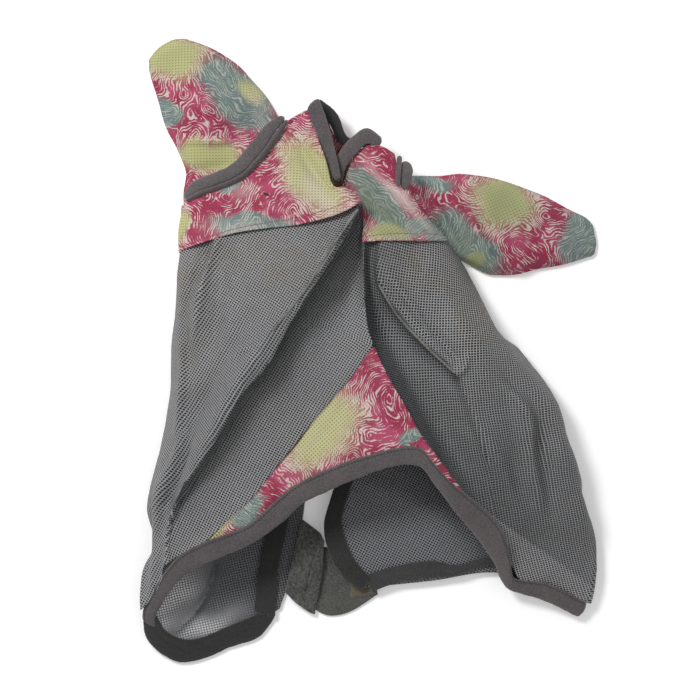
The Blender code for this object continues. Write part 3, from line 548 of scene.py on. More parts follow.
def distance_to(points, path):
    """Each plan point's distance to a polyline, and the share of the way along it."""
    best = np.full(points.shape[:-1], np.inf)
    share = np.zeros(points.shape[:-1])
    for index, (start, end) in enumerate(zip(path, path[1:])):
        run = end - start
        t = np.clip(((points[..., :2] - start) @ run) / (run @ run), 0, 1)
        gap = np.linalg.norm(points[..., :2] - start - t[..., None] * run, axis=-1)
        nearer = gap < best
        best = np.where(nearer, gap, best)
        share = np.where(nearer, (index + t) / (len(path) - 1), share)
    return best, share


def crease(grid, folds):
    """Raise (or sink) the cloth along soft folds."""
    push = np.zeros(grid.shape[:2])
    for path, width, height in folds:
        gap, share = distance_to(grid, even(path, CREASE_POINTS))
        fade = np.sin(np.pi * np.clip(share * 0.9 + 0.05, 0, 1)) ** 0.6
        push += height * fade * np.exp(-(gap / width) ** 2)
    return grid + normals_of(grid) * push[..., None]


def soft_noise(points, size, seed=0.0):
    """Smooth noise of the given size at every point."""
    places = points.reshape(-1, 3) / size + (0.0, 0.0, seed)
    return np.array([noise.noise(Vector(place)) for place in places]).reshape(points.shape[:-1])


def ripple(grid, size, height, seed):
    """Small soft unevenness: noise pushed along the normals."""
    return grid + normals_of(grid) * (soft_noise(grid, size, seed) * height)[..., None]


def drape(path, grid, lift):
    """Lay plan points on a sheet, at the sheet's height there."""
    flat = grid.reshape(-1, 3)
    heights = []
    for x, y in path:
        nearest = np.argsort((flat[:, 0] - x) ** 2 + (flat[:, 1] - y) ** 2)[:12]
        heights.append(flat[nearest, 2].max())
    heights = np.convolve(np.pad(heights, 2, mode="edge"), np.ones(5) / 5, mode="valid")
    return np.column_stack([path, heights + lift])


def uncreased(name):
    rails, rows, columns, _ = PANELS[name]
    return loft(rails, rows, columns)


def panel(name):
    """A panel's grid: lofted through its rails, creased along its folds and rippled."""
    grid = crease(uncreased(name), FOLDS.get(name, ()))
    for size, height, seed in PANELS[name][3]:
        grid = ripple(grid, size, height, seed)
    return grid


def tuck_edges(grid, height, reach):
    """Bring the sheet down to a low edge at its sides and end, as where an ear's front meets its back."""
    across = np.stack([travelled(row) for row in grid])
    left = np.stack([travelled(column[::-1])[::-1] for column in grid.transpose(1, 0, 2)], axis=1)
    near = np.exp(-(np.minimum(np.minimum(across, across[:, -1:] - across), left) / reach) ** 2)
    lowered = grid.copy()
    lowered[..., 2] = grid[..., 2] * (1 - near) + height * near
    return lowered


# ---------------------------------------------------------------- the flat cut of a panel


def cells_of(values):
    """The four corner values of every cell of a grid, in order round the cell."""
    return np.stack([values[:-1, :-1], values[:-1, 1:], values[1:, 1:], values[1:, :-1]])


def own_shapes(nodes, facing):
    """Every cell's corners in the plane of that cell, as complex numbers."""
    corners = cells_of(nodes)
    across = corners[1] + corners[2] - corners[0] - corners[3]
    along = corners[2] + corners[3] - corners[0] - corners[1]
    across /= np.linalg.norm(across, axis=-1, keepdims=True)
    along -= across * (across * along).sum(axis=-1, keepdims=True)
    along /= np.maximum(np.linalg.norm(along, axis=-1, keepdims=True), 1e-9)
    return (corners * across).sum(axis=-1) + 1j * facing * (corners * along).sum(axis=-1)


def flatten(grid):
    """The sheet's flat cut: plan positions in which every cell keeps its own shape as nearly as it can."""
    rows, columns = grid.shape[:2]
    row_marks = np.unique(np.linspace(0, rows - 1, FLATTEN_NODES).astype(int))
    column_marks = np.unique(np.linspace(0, columns - 1, FLATTEN_NODES).astype(int))
    nodes = grid[np.ix_(row_marks, column_marks)]
    plane = nodes[..., 0] + 1j * nodes[..., 1]
    middle = len(column_marks) // 2
    travel = np.stack([travelled(row) for row in nodes])
    travel -= travel[:, middle:middle + 1]
    heading = (plane[:, middle + 1] - plane[:, middle - 1]).sum()
    flat = plane[:, middle:middle + 1] + travel * heading / abs(heading)
    facing = np.sign((np.conj(np.diff(flat, axis=1)[:-1]) * np.diff(flat, axis=0)[:, :-1]).imag.sum())
    own = own_shapes(nodes, facing)
    number = cells_of(np.arange(flat.size).reshape(flat.shape))
    ties = np.zeros((flat.size, flat.size))
    for first, second in CELL_TIES:
        for one, other in ((number[first], number[second]), (number[second], number[first])):
            np.add.at(ties, (one.ravel(), one.ravel()), 1.0)
            np.add.at(ties, (one.ravel(), other.ravel()), -1.0)
    solve = np.linalg.inv(ties + 1.0 / flat.size)
    for _ in range(FLATTEN_ROUNDS):
        now = cells_of(flat)
        turns = sum((now[a] - now[b]) * np.conj(own[a] - own[b]) for a, b in CELL_TIES)
        turns /= np.maximum(abs(turns), 1e-12)
        pull = np.zeros(flat.size, complex)
        for first, second in CELL_TIES:
            wanted = (turns * (own[first] - own[second])).ravel()
            np.add.at(pull, number[first].ravel(), wanted)
            np.add.at(pull, number[second].ravel(), -wanted)
        flat = (solve @ pull.real + 1j * (solve @ pull.imag)).reshape(flat.shape)
    spin = ((plane - plane.mean()) * np.conj(flat - flat.mean())).sum()
    flat = (flat - flat.mean()) * spin / abs(spin) + plane.mean()
    wide = np.stack([np.interp(np.arange(columns), column_marks, line) for line in flat])
    full = np.stack([np.interp(np.arange(rows), row_marks, line) for line in wide.T], axis=1)
    return np.stack([full.real, full.imag], axis=2)


def weave_uv(grid, turn, bend):
    """Cloth coordinates in metres on the flat cut, with the weave turned by an angle.

    A bend (radius, level height) makes the turn change up the sheet, as in cloth that was pulled askew."""
    flat = flatten(grid) * MM
    if bend:
        radius, level = bend[0] * MM, bend[1] * MM
        reach = radius + flat[..., 0] - flat[..., 0].mean()
        angle = (flat[..., 1] - level) / radius
        flat = np.stack([reach * np.cos(angle), reach * np.sin(angle)], axis=2)
    c, s = math.cos(math.radians(turn)), math.sin(math.radians(turn))
    return np.stack([flat[..., 0] * c - flat[..., 1] * s, flat[..., 0] * s + flat[..., 1] * c], axis=2)


def cell_area(grid):
    return np.linalg.norm(np.cross(np.diff(grid, axis=1)[:-1], np.diff(grid, axis=0)[:, :-1]), axis=2).sum()


def declare(grid):
    """Work out a sheet's flat size, its spread in its own plane let out to its true area; the result is not
    kept.
    """
    points = grid.reshape(-1, 3)
    centred = points - points.mean(axis=0)
    spread = centred @ np.linalg.svd(centred, full_matrices=False)[2].T
    area = cell_area(grid)
    let_out = math.sqrt(area / cell_area(spread.reshape(grid.shape) * (1, 1, 0)))


# ---------------------------------------------------------------- pieces


def grid_faces(rows, columns, closed=False):
    faces = []
    for row in range(rows - 1):
        for column in range(columns if closed else columns - 1):
            right = (column + 1) % columns
            faces.append((row * columns + column, row * columns + right,
                          (row + 1) * columns + right, (row + 1) * columns + column))
    return faces


def face_up(faces, grid):
    """The faces with their outer side up, whichever way the grid runs."""
    over = np.cross(grid[0, 1] - grid[0, 0], grid[1, 0] - grid[0, 0])
    return [face[::-1] for face in faces] if over[2] < 0 else faces


def new_piece(name, vertices, faces, material, body="root", nodes=()):
    """A piece that rides a body and stands for the named CAD nodes, which it hides."""
    mesh = bpy.data.meshes.new(name)
    mesh.from_pydata([tuple(point) for point in (vertices + ORIGIN) * MM], [], faces)
    mesh.validate()
    mesh.shade_smooth()
    mesh.materials.append(bpy.data.materials[material])
    piece = bpy.data.objects.new(name, mesh)
    bpy.context.collection.objects.link(piece)
    if body:
        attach(piece, body)
    if nodes:
        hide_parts(*nodes)
    material in SLOTS
    return piece


def cloth(name, grid, thickness, material, nodes, paints, turn=0.0, body="root", smooth=None, bend=None):
    """A sheet of cloth with an even thickness.

    The weave is laid out on the flat cut of the smooth sheet, before it was creased."""
    faces = face_up(grid_faces(*grid.shape[:2]), grid)
    piece = new_piece(name, grid.reshape(-1, 3), faces, material, body, nodes)
    mesh = piece.data
    corners = np.empty(len(mesh.loops), np.int32)
    mesh.loops.foreach_get("vertex_index", corners)
    uv = weave_uv(grid if smooth is None else smooth, turn, bend).reshape(-1, 2)[corners]
    mesh.uv_layers.new(name="cloth").data.foreach_set("uv", uv.astype(np.float32).ravel())
    for key, values in paints.items():
        attribute = mesh.attributes.new(key, "FLOAT", "POINT")
        attribute.data.foreach_set("value", values.astype(np.float32).ravel())
    solid = piece.modifiers.new("thickness", "SOLIDIFY")
    solid.thickness = thickness * MM
    solid.offset = 0.0
    solid.use_even_offset = False
    return piece


def knit(name, grid, nodes, turn=0.0, body="root"):
    return cloth(name, grid, KNIT_THICK, "printed_knit", nodes, print_paints(grid), turn, body)


def from_ends(count):
    """How many rows each row is from the nearer end."""
    return np.minimum(np.arange(count), np.arange(count)[::-1])


def strip(name, first, second, thickness, material, nodes=(), seed=0.0, spacing=1.6, fuzz=0.35,
          swelling=0.25, around=18):
    """A padded fleece strip between two edge curves: a closed flattened tube with a soft pile."""
    count = max(int(travelled(smooth_line(first))[-1] / spacing), 8)
    left = even(first, count)
    right = even(second, count)
    middle = (left + right) / 2
    half = (right - left) / 2
    up = np.cross(half, np.gradient(middle, axis=0))
    up /= np.linalg.norm(up, axis=1, keepdims=True)
    hanging = up[:, 2].sum() < 0
    if hanging:
        up = -up
    rings = []
    for index in range(around):
        angle = 2 * math.pi * index / around
        across = math.copysign(abs(math.cos(angle)) ** 0.75, math.cos(angle))
        lift = math.copysign(abs(math.sin(angle)) ** 0.8, math.sin(angle))
        rings.append(middle + half * across + up * lift * thickness / 2 * (1.0 + swelling * across))
    grid = np.stack(rings, axis=1)
    centre = middle[:, None]
    out = grid - centre
    out /= np.maximum(np.linalg.norm(out, axis=2, keepdims=True), 1e-6)
    fine, coarse = PILE_SIZES
    pile = soft_noise(grid, fine, seed) + COARSE_SHARE * soft_noise(grid, coarse, seed + COARSE_SEED)
    taper = np.minimum(1.0, from_ends(count) / END_ROWS + END_THICK)
    grid = centre + (grid - centre) * taper[:, None, None] + out * (pile * fuzz)[..., None]
    faces = grid_faces(count, around, closed=True)
    start = count * around
    for column in range(around):
        after = (column + 1) % around
        faces.append((column, start, after))
        faces.append((start - around + after, start + 1, start - around + column))
    if not hanging:
        faces = [face[:1] + face[:0:-1] for face in faces]
    vertices = np.vstack([grid.reshape(-1, 3), middle[:1], middle[-1:]])
    return new_piece(name, vertices, faces, material, nodes=nodes)


def stitches(name, path, material):
    """A row of sewn stitches: small thread loops laid end to end along a path on the cloth."""
    stations = travelled(path)
    vertices = []
    faces = []
    for index in range(max(int(stations[-1] / STITCH_PITCH), 2)):
        ends = (index + 0.5) * STITCH_PITCH + np.array([-0.5, 0.5]) * STITCH_LENGTH
        start, end = points_at(path, stations, ends)
        run = (end - start) / max(np.linalg.norm(end - start), 1e-6)
        side = np.cross(run, (0, 0, 1.0))
        side /= max(np.linalg.norm(side), 1e-6)
        top = np.cross(side, run)
        base = len(vertices)
        for share, swell in STITCH_SWELLS:
            for corner in range(6):
                angle = math.pi * corner / 3
                out = (side * math.cos(angle) + top * math.sin(angle)) * STITCH_RADIUS * swell
                vertices.append(start + (end - start) * share + out)
        faces += [tuple(base + i for i in face) for face in grid_faces(len(STITCH_SWELLS), 6, closed=True)]
        faces += [tuple(range(base, base + 6)), tuple(range(base + 29, base + 23, -1))]
    return new_piece(name, np.array(vertices), faces, material)


def pad(name, grid, thickness, material, nodes, body, lump):
    """A closed padded slab: full thickness inside, rounded off towards its edges."""
    rows, columns = grid.shape[:2]
    down = from_ends(rows)[:, None] / max(rows * PAD_EDGE_SHARE, 1.0)
    side = from_ends(columns)[None, :] / max(columns * PAD_EDGE_SHARE, 1.0)
    depth = np.clip(np.minimum(down, side), 0, 1)
    rough = 1 + lump * soft_noise(grid, PAD_LUMP_SIZE)
    rise = normals_of(grid) * (np.sqrt(1 - (1 - depth) ** 2) * thickness / 2 * rough)[..., None]
    vertices = np.vstack([(grid + rise).reshape(-1, 3), (grid - rise)[1:-1, 1:-1].reshape(-1, 3)])
    under = np.arange(rows * columns).reshape(rows, columns)
    under[1:-1, 1:-1] = rows * columns + np.arange((rows - 2) * (columns - 2)).reshape(rows - 2, columns - 2)
    lower = cells_of(under).reshape(4, -1)[[0, 3, 2, 1]].T.tolist()
    faces = face_up(grid_faces(rows, columns) + [tuple(face) for face in lower], grid)
    return new_piece(name, vertices, faces, material, body, nodes)


# ---------------------------------------------------------------- colour fields painted on the cloths


def blob_field(points, blobs):
    """How strongly each point lies in the blobs, whose edges sway a little."""
    field = np.zeros(points.shape[:-1])
    for x, y, long_radius, short_radius, turn, *strength in blobs:
        c, s = math.cos(math.radians(turn)), math.sin(math.radians(turn))
        dx = points[..., 0] - x + BLOB_SWAY * np.sin(points[..., 1] / BLOB_SWAY_SIZES[0] + x)
        dy = points[..., 1] - y + BLOB_SWAY * np.sin(points[..., 0] / BLOB_SWAY_SIZES[1] + y)
        along = (dx * c + dy * s) / long_radius
        across = (-dx * s + dy * c) / short_radius
        full = strength[0] if strength else 1.0
        field = np.maximum(field, full * np.exp(-(along**2 + across**2) * BLOB_FALL))
    return field


def beside(grid, path, reach_start, reach_end):
    """1 next to the path on its left side, fading to 0 away from it, and 0 on its right side."""
    path = even(path, SHADE_POINTS)
    gap, share = distance_to(grid, path)
    index = np.minimum((share * (len(path) - 1)).astype(int), len(path) - 2)
    run = path[index + 1] - path[index]
    offset = grid[..., :2] - path[index]
    side = run[..., 0] * offset[..., 1] - run[..., 1] * offset[..., 0]
    reach = reach_start + (reach_end - reach_start) * share
    return np.where(side > 0, np.exp(-gap / reach), 0.0)


def mesh_paints(name, grid):
    """The stains of a mesh panel, and the painted shade on the sunken sides of its folds."""
    painted_shade = np.zeros(grid.shape[:2])
    for path, reach_start, reach_end, strength in SHADES[name]:
        if strength < 0:
            path, reach_start, reach_end = path[::-1], reach_end, reach_start
        painted_shade = np.maximum(painted_shade, abs(strength) * beside(grid, path, reach_start, reach_end))
    return {"stain": blob_field(grid, STAINS), "painted_shade": painted_shade}


def print_paints(grid):
    """The colour blobs of the print, and how far each point is from a focus, counted in lines."""
    gaps = []
    for index, (x, y) in enumerate(FOCI):
        c, s = math.cos(GOLDEN_TURN * index), math.sin(GOLDEN_TURN * index)
        along = np.clip((grid[..., 0] - x) * c + (grid[..., 1] - y) * s, -FOCUS_LENGTH, FOCUS_LENGTH)
        gaps.append(np.hypot(grid[..., 0] - x - along * c, grid[..., 1] - y - along * s))
    gaps = np.stack(gaps)
    nearest = gaps.min(axis=0)
    soft = nearest - FOCUS_BLUR * np.log(np.exp(-(gaps - nearest) / FOCUS_BLUR).sum(axis=0))
    paints = {key: blob_field(grid, blobs) for key, blobs in PRINT_BLOBS.items()}
    return {**paints, "swirl": soft / LINE_PITCH}


# ---------------------------------------------------------------- materials


class Value:
    """What a node puts out, so that a material reads like plain sums."""

    def __init__(self, finish, socket):
        self.finish = finish
        self.socket = socket

    def __add__(self, other):
        return self.finish.math("ADD", self, other)

    def __sub__(self, other):
        return self.finish.math("SUBTRACT", self, other)

    def __rsub__(self, other):
        return self.finish.math("SUBTRACT", other, self)

    def __mul__(self, other):
        return self.finish.math("MULTIPLY", self, other)


class Finish:
    """A material made of nodes, with short names for the few kinds that the cloths need."""

    def __init__(self, name):
        self.material = bpy.data.materials.new(name)
        self.material.use_nodes = True
        self.tree = self.material.node_tree
        self.shader = self.tree.nodes["Principled BSDF"]

    def put(self, socket, value):
        if isinstance(value, Value):
            self.tree.links.new(value.socket, socket)
        elif socket.type == "RGBA":
            socket.default_value = (*value, 1.0)
        else:
            socket.default_value = value

    def node(self, kind, inputs=(), output=0, **settings):
        """One output of a new node, whose inputs are given by their numbers or names."""
        made = self.tree.nodes.new(kind)
        for key, value in settings.items():
            setattr(made, key, value)
        for key, value in dict(inputs).items():
            self.put(made.inputs[key], value)
        return Value(self, made.outputs[output])

    def surface(self, color, roughness, **more):
        """Set the shader's inputs, where an input's name has _ for its spaces."""
        for key, value in {"Base Color": color, "Roughness": roughness, **more}.items():
            self.put(self.shader.inputs[key.replace("_", " ")], value)

    def math(self, operation, *values):
        return self.node("ShaderNodeMath", enumerate(values), operation=operation)

    def step(self, value, low, high, start=0.0, end=1.0):
        inputs = {"Value": value, "From Min": low, "From Max": high, "To Min": start, "To Max": end}
        return self.node("ShaderNodeMapRange", inputs, interpolation_type="SMOOTHSTEP")

    def mix(self, share, first, second):
        """Two colours mixed. Inputs 6 and 7 and output 2 are the colour ones of the node."""
        return self.node("ShaderNodeMix", {0: share, 6: first, 7: second}, 2, data_type="RGBA")

    def attribute(self, name):
        return self.node("ShaderNodeAttribute", output="Fac", attribute_name=name)

    def place(self):
        return self.node("ShaderNodeTexCoord", output="Object")

    def noise(self, size_mm, detail=2.0, vector=None):
        inputs = {"Vector": vector or self.place(), "Scale": 1000.0 / size_mm, "Detail": detail}
        return self.node("ShaderNodeTexNoise", inputs, "Fac")

    def axes(self, vector):
        return [self.node("ShaderNodeSeparateXYZ", {0: vector}, axis) for axis in (0, 1)]

    def cloth_axes(self):
        return self.axes(self.node("ShaderNodeUVMap", output="UV", uv_map="cloth"))

    def from_middle(self, value, pitch_mm):
        """Distance from the middle of the cell, 0 to 0.5, in cells of the given pitch."""
        return self.math("ABSOLUTE", self.math("FRACT", value * (1000.0 / pitch_mm)) - 0.5)

    def bump(self, height, distance_mm, strength):
        inputs = {"Height": height, "Distance": distance_mm * MM, "Strength": strength}
        self.put(self.shader.inputs["Normal"], self.node("ShaderNodeBump", inputs))

    def wobble(self, value, amount_mm, size_mm, shift):
        """A coordinate that wanders a little, as threads do."""
        place = self.node("ShaderNodeMapping", {"Vector": self.place(), "Location": (shift, shift, 0.0)})
        return value + (self.noise(size_mm, 1.0, place) - 0.5) * (amount_mm * MM)


def tinted(color, *tint):
    return tuple(min(value * share, 1.0) for value, share in zip(color, tint * (3 // len(tint))))


def mesh_weave(name, thread, painted_hole_shade, clear, stain):
    """Open woven mesh: hard threads round small square holes, which are filled mostly with painted shade and
    show a little of what lies under them.
    """
    finish = Finish(name)
    u, v = finish.cloth_axes()
    across = finish.from_middle(finish.wobble(u, 1.3, 16.0, 0.0), WEAVE_ACROSS)
    along = finish.from_middle(finish.wobble(v, 1.3, 16.0, 0.3), WEAVE_ALONG)
    inside = finish.step(across, 0.31, 0.38, 1.0, 0.0) * finish.step(along, 0.30, 0.37, 1.0, 0.0)
    dirt = finish.attribute("stain") * finish.step(finish.noise(30.0, 3.0), 0.3, 0.6)
    dirt = dirt + finish.step(finish.noise(55.0, 3.0), 0.5, 0.75, 0.0, 0.25)
    lit = finish.mix(dirt * stain, thread, tinted(thread, *STAIN_TINT))
    lit = finish.mix(finish.step(finish.noise(1.3, 1.0), 0.3, 0.75), lit, tinted(thread, 1.35))
    # Painted shade: on the sunken sides of folds the threads darken towards the colour of the holes.
    lit = finish.mix(finish.attribute("painted_shade"), lit, painted_hole_shade)
    # Painted light: where the open attribute is set, the holes turn opaque and take a pale floor colour.
    painted_light_share = finish.attribute("open")
    # The holes take the painted shade colour, except where painted light fills them, and are only partly
    # clear.
    finish.surface(finish.mix(inside, lit, finish.mix(painted_light_share, painted_hole_shade, PAINTED_FLOOR_LIGHT)), 0.62,
                   Alpha=1.0 - inside * ((1.0 - painted_light_share) * clear))
    finish.bump(1.0 - inside, 0.7, 0.7)


def printed_cloth(name):
    """Knitted print: cream lines round the foci on raspberry, with lime and teal clouds and pores."""
    finish = Finish(name)
    u, v = finish.cloth_axes()
    x, y = finish.axes(finish.place())
    swirl = finish.attribute("swirl")
    lime = finish.attribute("lime")
    fine = finish.noise(1.5, 1.0)
    speck = fine - 0.5
    # The lines: waves round the foci, broken up by streaks that run along them.
    turns = swirl + (finish.noise(26.0) - 0.5) * 9.0
    trail = finish.node("ShaderNodeCombineXYZ", {0: turns * 1.15, 1: x * 95.0, 2: y * 95.0})
    streak = finish.noise(1000.0, 1.5, trail) - 0.5
    wave = streak * 4.6 + finish.math("SINE", turns * (2 * math.pi)) * 0.85
    patches = finish.step(finish.noise(11.0, 1.0), 0.35, 0.66, 0.25, 1.15)
    limit = finish.step(lime, 0.03, 0.45) * -0.9 + patches
    lines = finish.step(speck * 1.5 + wave - limit, -0.3, 0.5)
    base = finish.mix(finish.step(finish.noise(24.0), 0.42, 0.72), RASPBERRY, ROSE)
    field = finish.mix(lines * 0.88, base, CREAM)
    # The colours over them: lilac at the foci, hatched teal clouds, lime patches, faded spots and a painted
    # highlight, and painted shade.
    centre = finish.step(swirl, -3.6, -1.4, 0.75, 0.0)
    field = finish.mix(centre * finish.step(fine, 0.35, 0.6), field, LILAC)
    cloud = finish.step(speck * 0.5 + finish.attribute("teal"), 0.22, 0.56)
    hatch = finish.step(speck * 2.6 + wave, -0.3, 1.1)
    field = finish.mix(cloud * 0.93, field, finish.mix(hatch, TEAL_TINT, PALE_TEAL))
    field = finish.mix(finish.step(speck * 0.25 + lime, 0.19, 0.82), field, LIME_TINT)
    # Faded spots, and a painted highlight on the right crown's ridge fold.
    field = finish.mix(finish.attribute("pale") * 0.34, field, CREAM)
    field = finish.mix(finish.attribute("painted_print_shade") * 0.36, field, PAINTED_PRINT_SHADE_TINT)
    # The pores of the knit, which show most on the lime.
    across = finish.from_middle(u, PORES_ACROSS)
    along = finish.from_middle(v, PORES_ALONG)
    pore = finish.step(finish.math("SQRT", across * across + along * along), 0.15, 0.28, 1.0, 0.0)
    field = finish.mix(pore * finish.step(lime, 0.08, 0.45, 0.3, 0.9), field, LIME_DARK)
    field = finish.mix(finish.step(finish.attribute("worn"), 0.35, 0.6), field, NEAR_BLACK)
    finish.surface(field, 0.8)
    finish.bump(finish.noise(0.9, 1.0) * 0.6 + pore * -0.8, 0.35, 0.8)


def pile_cloth(name, color, tuft_mm, depth_mm, spread):
    """Fleece or loop pile: short soft tufts, a little lighter at their tips."""
    finish = Finish(name)
    tuft = finish.noise(tuft_mm, 3.0)
    shade = finish.step(tuft * 0.75 + finish.noise(24.0) * 0.25, 0.32, 0.7)
    finish.surface(finish.mix(shade, tinted(color, 1 - spread), tinted(color, 1 + spread)), 0.95,
                   Sheen_Weight=0.25, Sheen_Roughness=0.6)
    finish.bump(tuft, depth_mm, 0.9)


def sewing_thread(name, color):
    finish = Finish(name)
    shade = finish.noise(0.8, 1.0)
    finish.surface(finish.mix(shade, tinted(color, 0.6), color), 0.6)
    finish.bump(shade, 0.15, 0.6)


def floor_paper(name):
    finish = Finish(name)
    finish.surface(finish.mix(finish.noise(40.0), (0.93, 0.93, 0.93), (0.95, 0.95, 0.95)), 0.9,
                   Emission_Color=(1.0, 1.0, 1.0), Emission_Strength=FLOOR_LIGHT)


def make_materials():
    for name, values in WOVEN.items():
        mesh_weave(name, *values)
    for name, values in PILES.items():
        pile_cloth(name, *values)
    printed_cloth("printed_knit")
    sewing_thread("grey_thread", GREY_THREAD)
    sewing_thread("pink_thread", PINK_THREAD)
    floor_paper("floor_paper")


# ---------------------------------------------------------------- camera, light and floor

CAMERA_PLACE = (-20.0, 0.0, 2600.0)
CAMERA_SIGHT = 700.0
SENSOR = 36.0
# Each lamp's place and size in metres, and its power.
LAMPS = {"key_light": ((-1.2, 1.3, 1.9), 0.7, 44.0), "fill_light": ((1.5, -1.0, 1.8), 1.6, 4.0)}
SKY_LIGHT = 0.50
FLOOR_HALF = 6.0
FLOOR_DEPTH = 0.0004


def add_camera():
    camera = bpy.data.cameras.new("photo_view")
    camera.sensor_width = SENSOR
    camera.lens = SENSOR * CAMERA_PLACE[2] / CAMERA_SIGHT
    camera.clip_end = 10.0
    view = bpy.data.objects.new("photo_view", camera)
    view.location = (np.array(CAMERA_PLACE) + ORIGIN * (1, 1, 0)) * MM
    bpy.context.collection.objects.link(view)
    bpy.context.scene.camera = view


def add_light(name, place, size, power):
    """A round lamp that shines at the frame's zero."""
    light = bpy.data.lights.new(name, "AREA")
    light.shape = "DISK"
    light.size = size
    light.energy = power
    lamp = bpy.data.objects.new(name, light)
    lamp.location = place
    lamp.rotation_euler = (-Vector(place)).to_track_quat("-Z", "Y").to_euler()
    bpy.context.collection.objects.link(lamp)


def add_studio():
    for name, values in LAMPS.items():
        add_light(name, *values)
    world = bpy.data.worlds.new("studio")
    world.use_nodes = True
    world.node_tree.nodes["Background"].inputs["Color"].default_value = (1.0, 1.0, 1.0, 1.0)
    world.node_tree.nodes["Background"].inputs["Strength"].default_value = SKY_LIGHT
    bpy.context.scene.world = world
    mesh = bpy.data.meshes.new("floor")
    corners = [(-FLOOR_HALF, -FLOOR_HALF, 0), (FLOOR_HALF, -FLOOR_HALF, 0), (FLOOR_HALF, FLOOR_HALF, 0),
               (-FLOOR_HALF, FLOOR_HALF, 0)]
    mesh.from_pydata(corners, [], [(0, 1, 2, 3)])
    mesh.materials.append(bpy.data.materials["floor_paper"])
    floor = bpy.data.objects.new("floor", mesh)
    floor.location.z = -FLOOR_DEPTH
    bpy.context.collection.objects.link(floor)
    bpy.context.scene.view_settings.view_transform = "Standard"


# ---------------------------------------------------------------- the mask


def build_face():
    grids = {side: panel("mesh_" + side) for side in ("left", "right")}
    for side, turn, bend in (("left", 31.0, None), ("right", -13.0, (650.0, -150.0))):
        name = "mesh_" + side
        cloth(name, grids[side], MESH_THICK, "woven_mesh", ["face_mesh_" + side],
                             mesh_paints(name, grids[side]), turn, smooth=uncreased(name), bend=bend)
    for side, dart in DARTS.items():
        centre = drape(even(dart, 60), grids[side], DART_LIFT)
        across = np.cross(np.gradient(centre, axis=0), (0, 0, 1.0))
        across = across / np.linalg.norm(across, axis=1, keepdims=True) * DART_REACH
        welt = strip("dart_" + side, centre - across, centre + across, DART_THICK, "mesh_seam",
                     ["eye_dart_" + side], spacing=1.4, fuzz=0.15, swelling=0.0, around=10)
        declare(grids[side])


def build_gusset():
    front = panel("gusset")
    side = panel("gusset_turn")
    nose = knit("gusset", front, ["nose_gusset"], turn=48.0)
    turned = knit("gusset_turn", side, ["nose_gusset_side"], turn=48.0)
    row = stitches("gusset_stitches", front[4:, 2] + (0, 0, 0.8), "pink_thread")
    declare(front)
    declare(side)


def build_crown():
    grids = {side: panel("crown_" + side) for side in ("left", "right")}
    band = panel("poll_rear")
    crowns = {side: knit("crown_" + side, grids[side], ["crown_panel_" + side], turn)
              for side, turn in (("left", 0.0), ("right", -30.0))}
    rear = knit("poll_rear", band, ["poll_band"])
    sewn = {"left": [], "right": [], "rear": []}
    for side, kind, edges, thickness, material, stands_for, seed in (
            ("left", "poll_edge_", POLL_LEFT, FLEECE_THICK, "warm_grey_fleece", "poll_binding_", 1.0),
            ("right", "poll_edge_", POLL_RIGHT, FLEECE_THICK, "warm_grey_fleece", "poll_binding_", 2.0),
            ("rear", "poll_edge_", POLL_REAR, 3.6, "dark_fleece", "poll_binding_", 3.0),
            ("left", "ring_", LEFT_RING, 5.0, "warm_grey_fleece", "ear_ring_", 4.0),
            ("right", "ring_", RIGHT_RING, 5.0, "warm_grey_fleece", "ear_ring_", 5.0),
            ("left", "piping_", LEFT_PIPING, PIPING_THICK, "warm_grey_fleece", None, 11.0),
            ("right", "piping_", RIGHT_PIPING, PIPING_THICK, "warm_grey_fleece", None, 12.0)):
        nodes = [stands_for + side] if stands_for else []
        sewn[side].append(strip(kind + side, *edges, thickness, material, nodes, seed))
    for side in crowns:
        hem = grids[side][-7, 3:-3] + (0, 0, HEM_STITCH_LIFT)
        sewn[side].append(stitches("crown_stitches_" + side, hem, "pink_thread"))
    for side, crown in crowns.items():
        declare(grids[side])
    declare(band)


def build_ear(side, turn):
    creased = crease(uncreased("ear_" + side), FOLDS["ear_" + side])
    front = tuck_edges(panel("ear_" + side), EAR_EDGE_HEIGHT, EAR_EDGE_REACH)
    root = np.clip(1 - np.arange(len(front)) / (len(front) * EAR_ROOT_SHARE), 0, 1)[:, None, None]
    front = front * (1 - root) + creased * root
    under = front[int(len(front) * EAR_BACK_SHARE):].copy()
    under[..., 2] = EAR_BACK_HEIGHT + EAR_BACK_RISE * under[..., 2]
    cover = knit("ear_" + side, front, ["ear_front_" + side, "ear_root_" + side], turn, body=None)
    back = knit("ear_rear_" + side, under, ["ear_back_" + side], turn, body=None)
    for piece in (cover, back):
        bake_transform(piece)
    declare(front)
    declare(under)


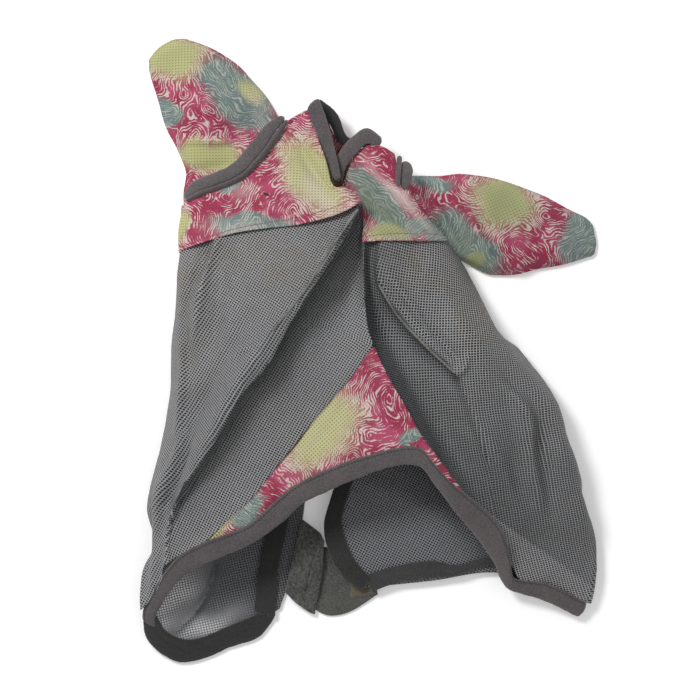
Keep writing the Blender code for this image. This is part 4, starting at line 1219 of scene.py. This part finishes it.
def build_edges():
    strip("nose_edge", NOSE_BINDING_SEAM, NOSE_BINDING_EDGE, FLEECE_THICK, "warm_grey_fleece",
          ["nose_binding_left", "nose_binding_right"], seed=6.0)
    upper = even(NOSE_BINDING_SEAM, 200)
    lower = even(NOSE_BINDING_EDGE, 200)
    seam_line = upper * (1 - NOSE_SEAM_SHARE) + lower * NOSE_SEAM_SHARE + (0, 0, NOSE_SEAM_LIFT)
    stitches("nose_stitches", seam_line, "grey_thread")
    for name, edges, material, node, thickness, seed in (
            ("hem_left", LEFT_HEM, "inner_fleece", "cheek_hem_left", FLEECE_THICK, 7.0),
            ("hem_right", RIGHT_HEM, "hem_fleece", "cheek_hem_right", 3.6, 8.0),
            ("trim_left", LEFT_TRIM, "inner_fleece", "closure_trim_left", TRIM_THICK, 9.0),
            ("trim_right", RIGHT_TRIM, "inner_fleece", "closure_trim_right", TRIM_THICK, 10.0)):
        outer, inner = (even(edge, FOLD_POINTS) for edge in edges)
        across = inner - outer
        strip(name, outer, outer + across * FOLD_SHARES[1], thickness, material, [node], seed)
        strip(name + "_fold", outer + across * FOLD_SHARES[0], inner, thickness, material, [], seed)


def build_cheeks():
    left = panel("cheek_left")
    right = panel("cheek_right")
    # The open attribute marks the painted light in the left cheek's holes.
    left_paints = {**mesh_paints("cheek_left", left), "open": blob_field(left, PAINTED_LIGHT_SPOTS)}
    # Both cheek flaps use darker copies of the mesh, as painted shade.
    cheek_left = cloth("cheek_left", left, MESH_THICK, "woven_mesh_loop_painted_shade", ["cheek_flap_left"],
                       left_paints, turn=-13.0)
    cheek_right = cloth("cheek_right", right, MESH_THICK, "woven_mesh_inner_painted_shade", ["cheek_flap_right"],
                        mesh_paints("cheek_right", right), turn=27.0)
    declare(left)
    declare(right)


def build_closures():
    for name, thickness, material, node, body, lump in (
            ("tab_left", 4.0, "brushed_pile_cloth", "jaw_tab_left", "jaw_tab", 0.7),
            ("tab_right", 3.0, "loop_pile_cloth", "jaw_tab_right", "root", 0.3),
            ("hook_jaw", 1.6, "hook_tape_cloth", "jaw_hook_patch", "root", 0.0),
            ("tab_throat", 2.0, "loop_pile_cloth", "throat_tab", "root", 0.0),
            ("hook_throat", 1.2, "hook_tape_cloth", "throat_hook_patch", "root", 0.0)):
        pad(name, panel(name), thickness, material, [node], body, lump)


make_materials()
add_camera()
add_studio()
build_face()
build_gusset()
build_crown()
build_ear("left", turn=0.0)
build_ear("right", turn=-25.0)
build_edges()
build_cheeks()
build_closures()
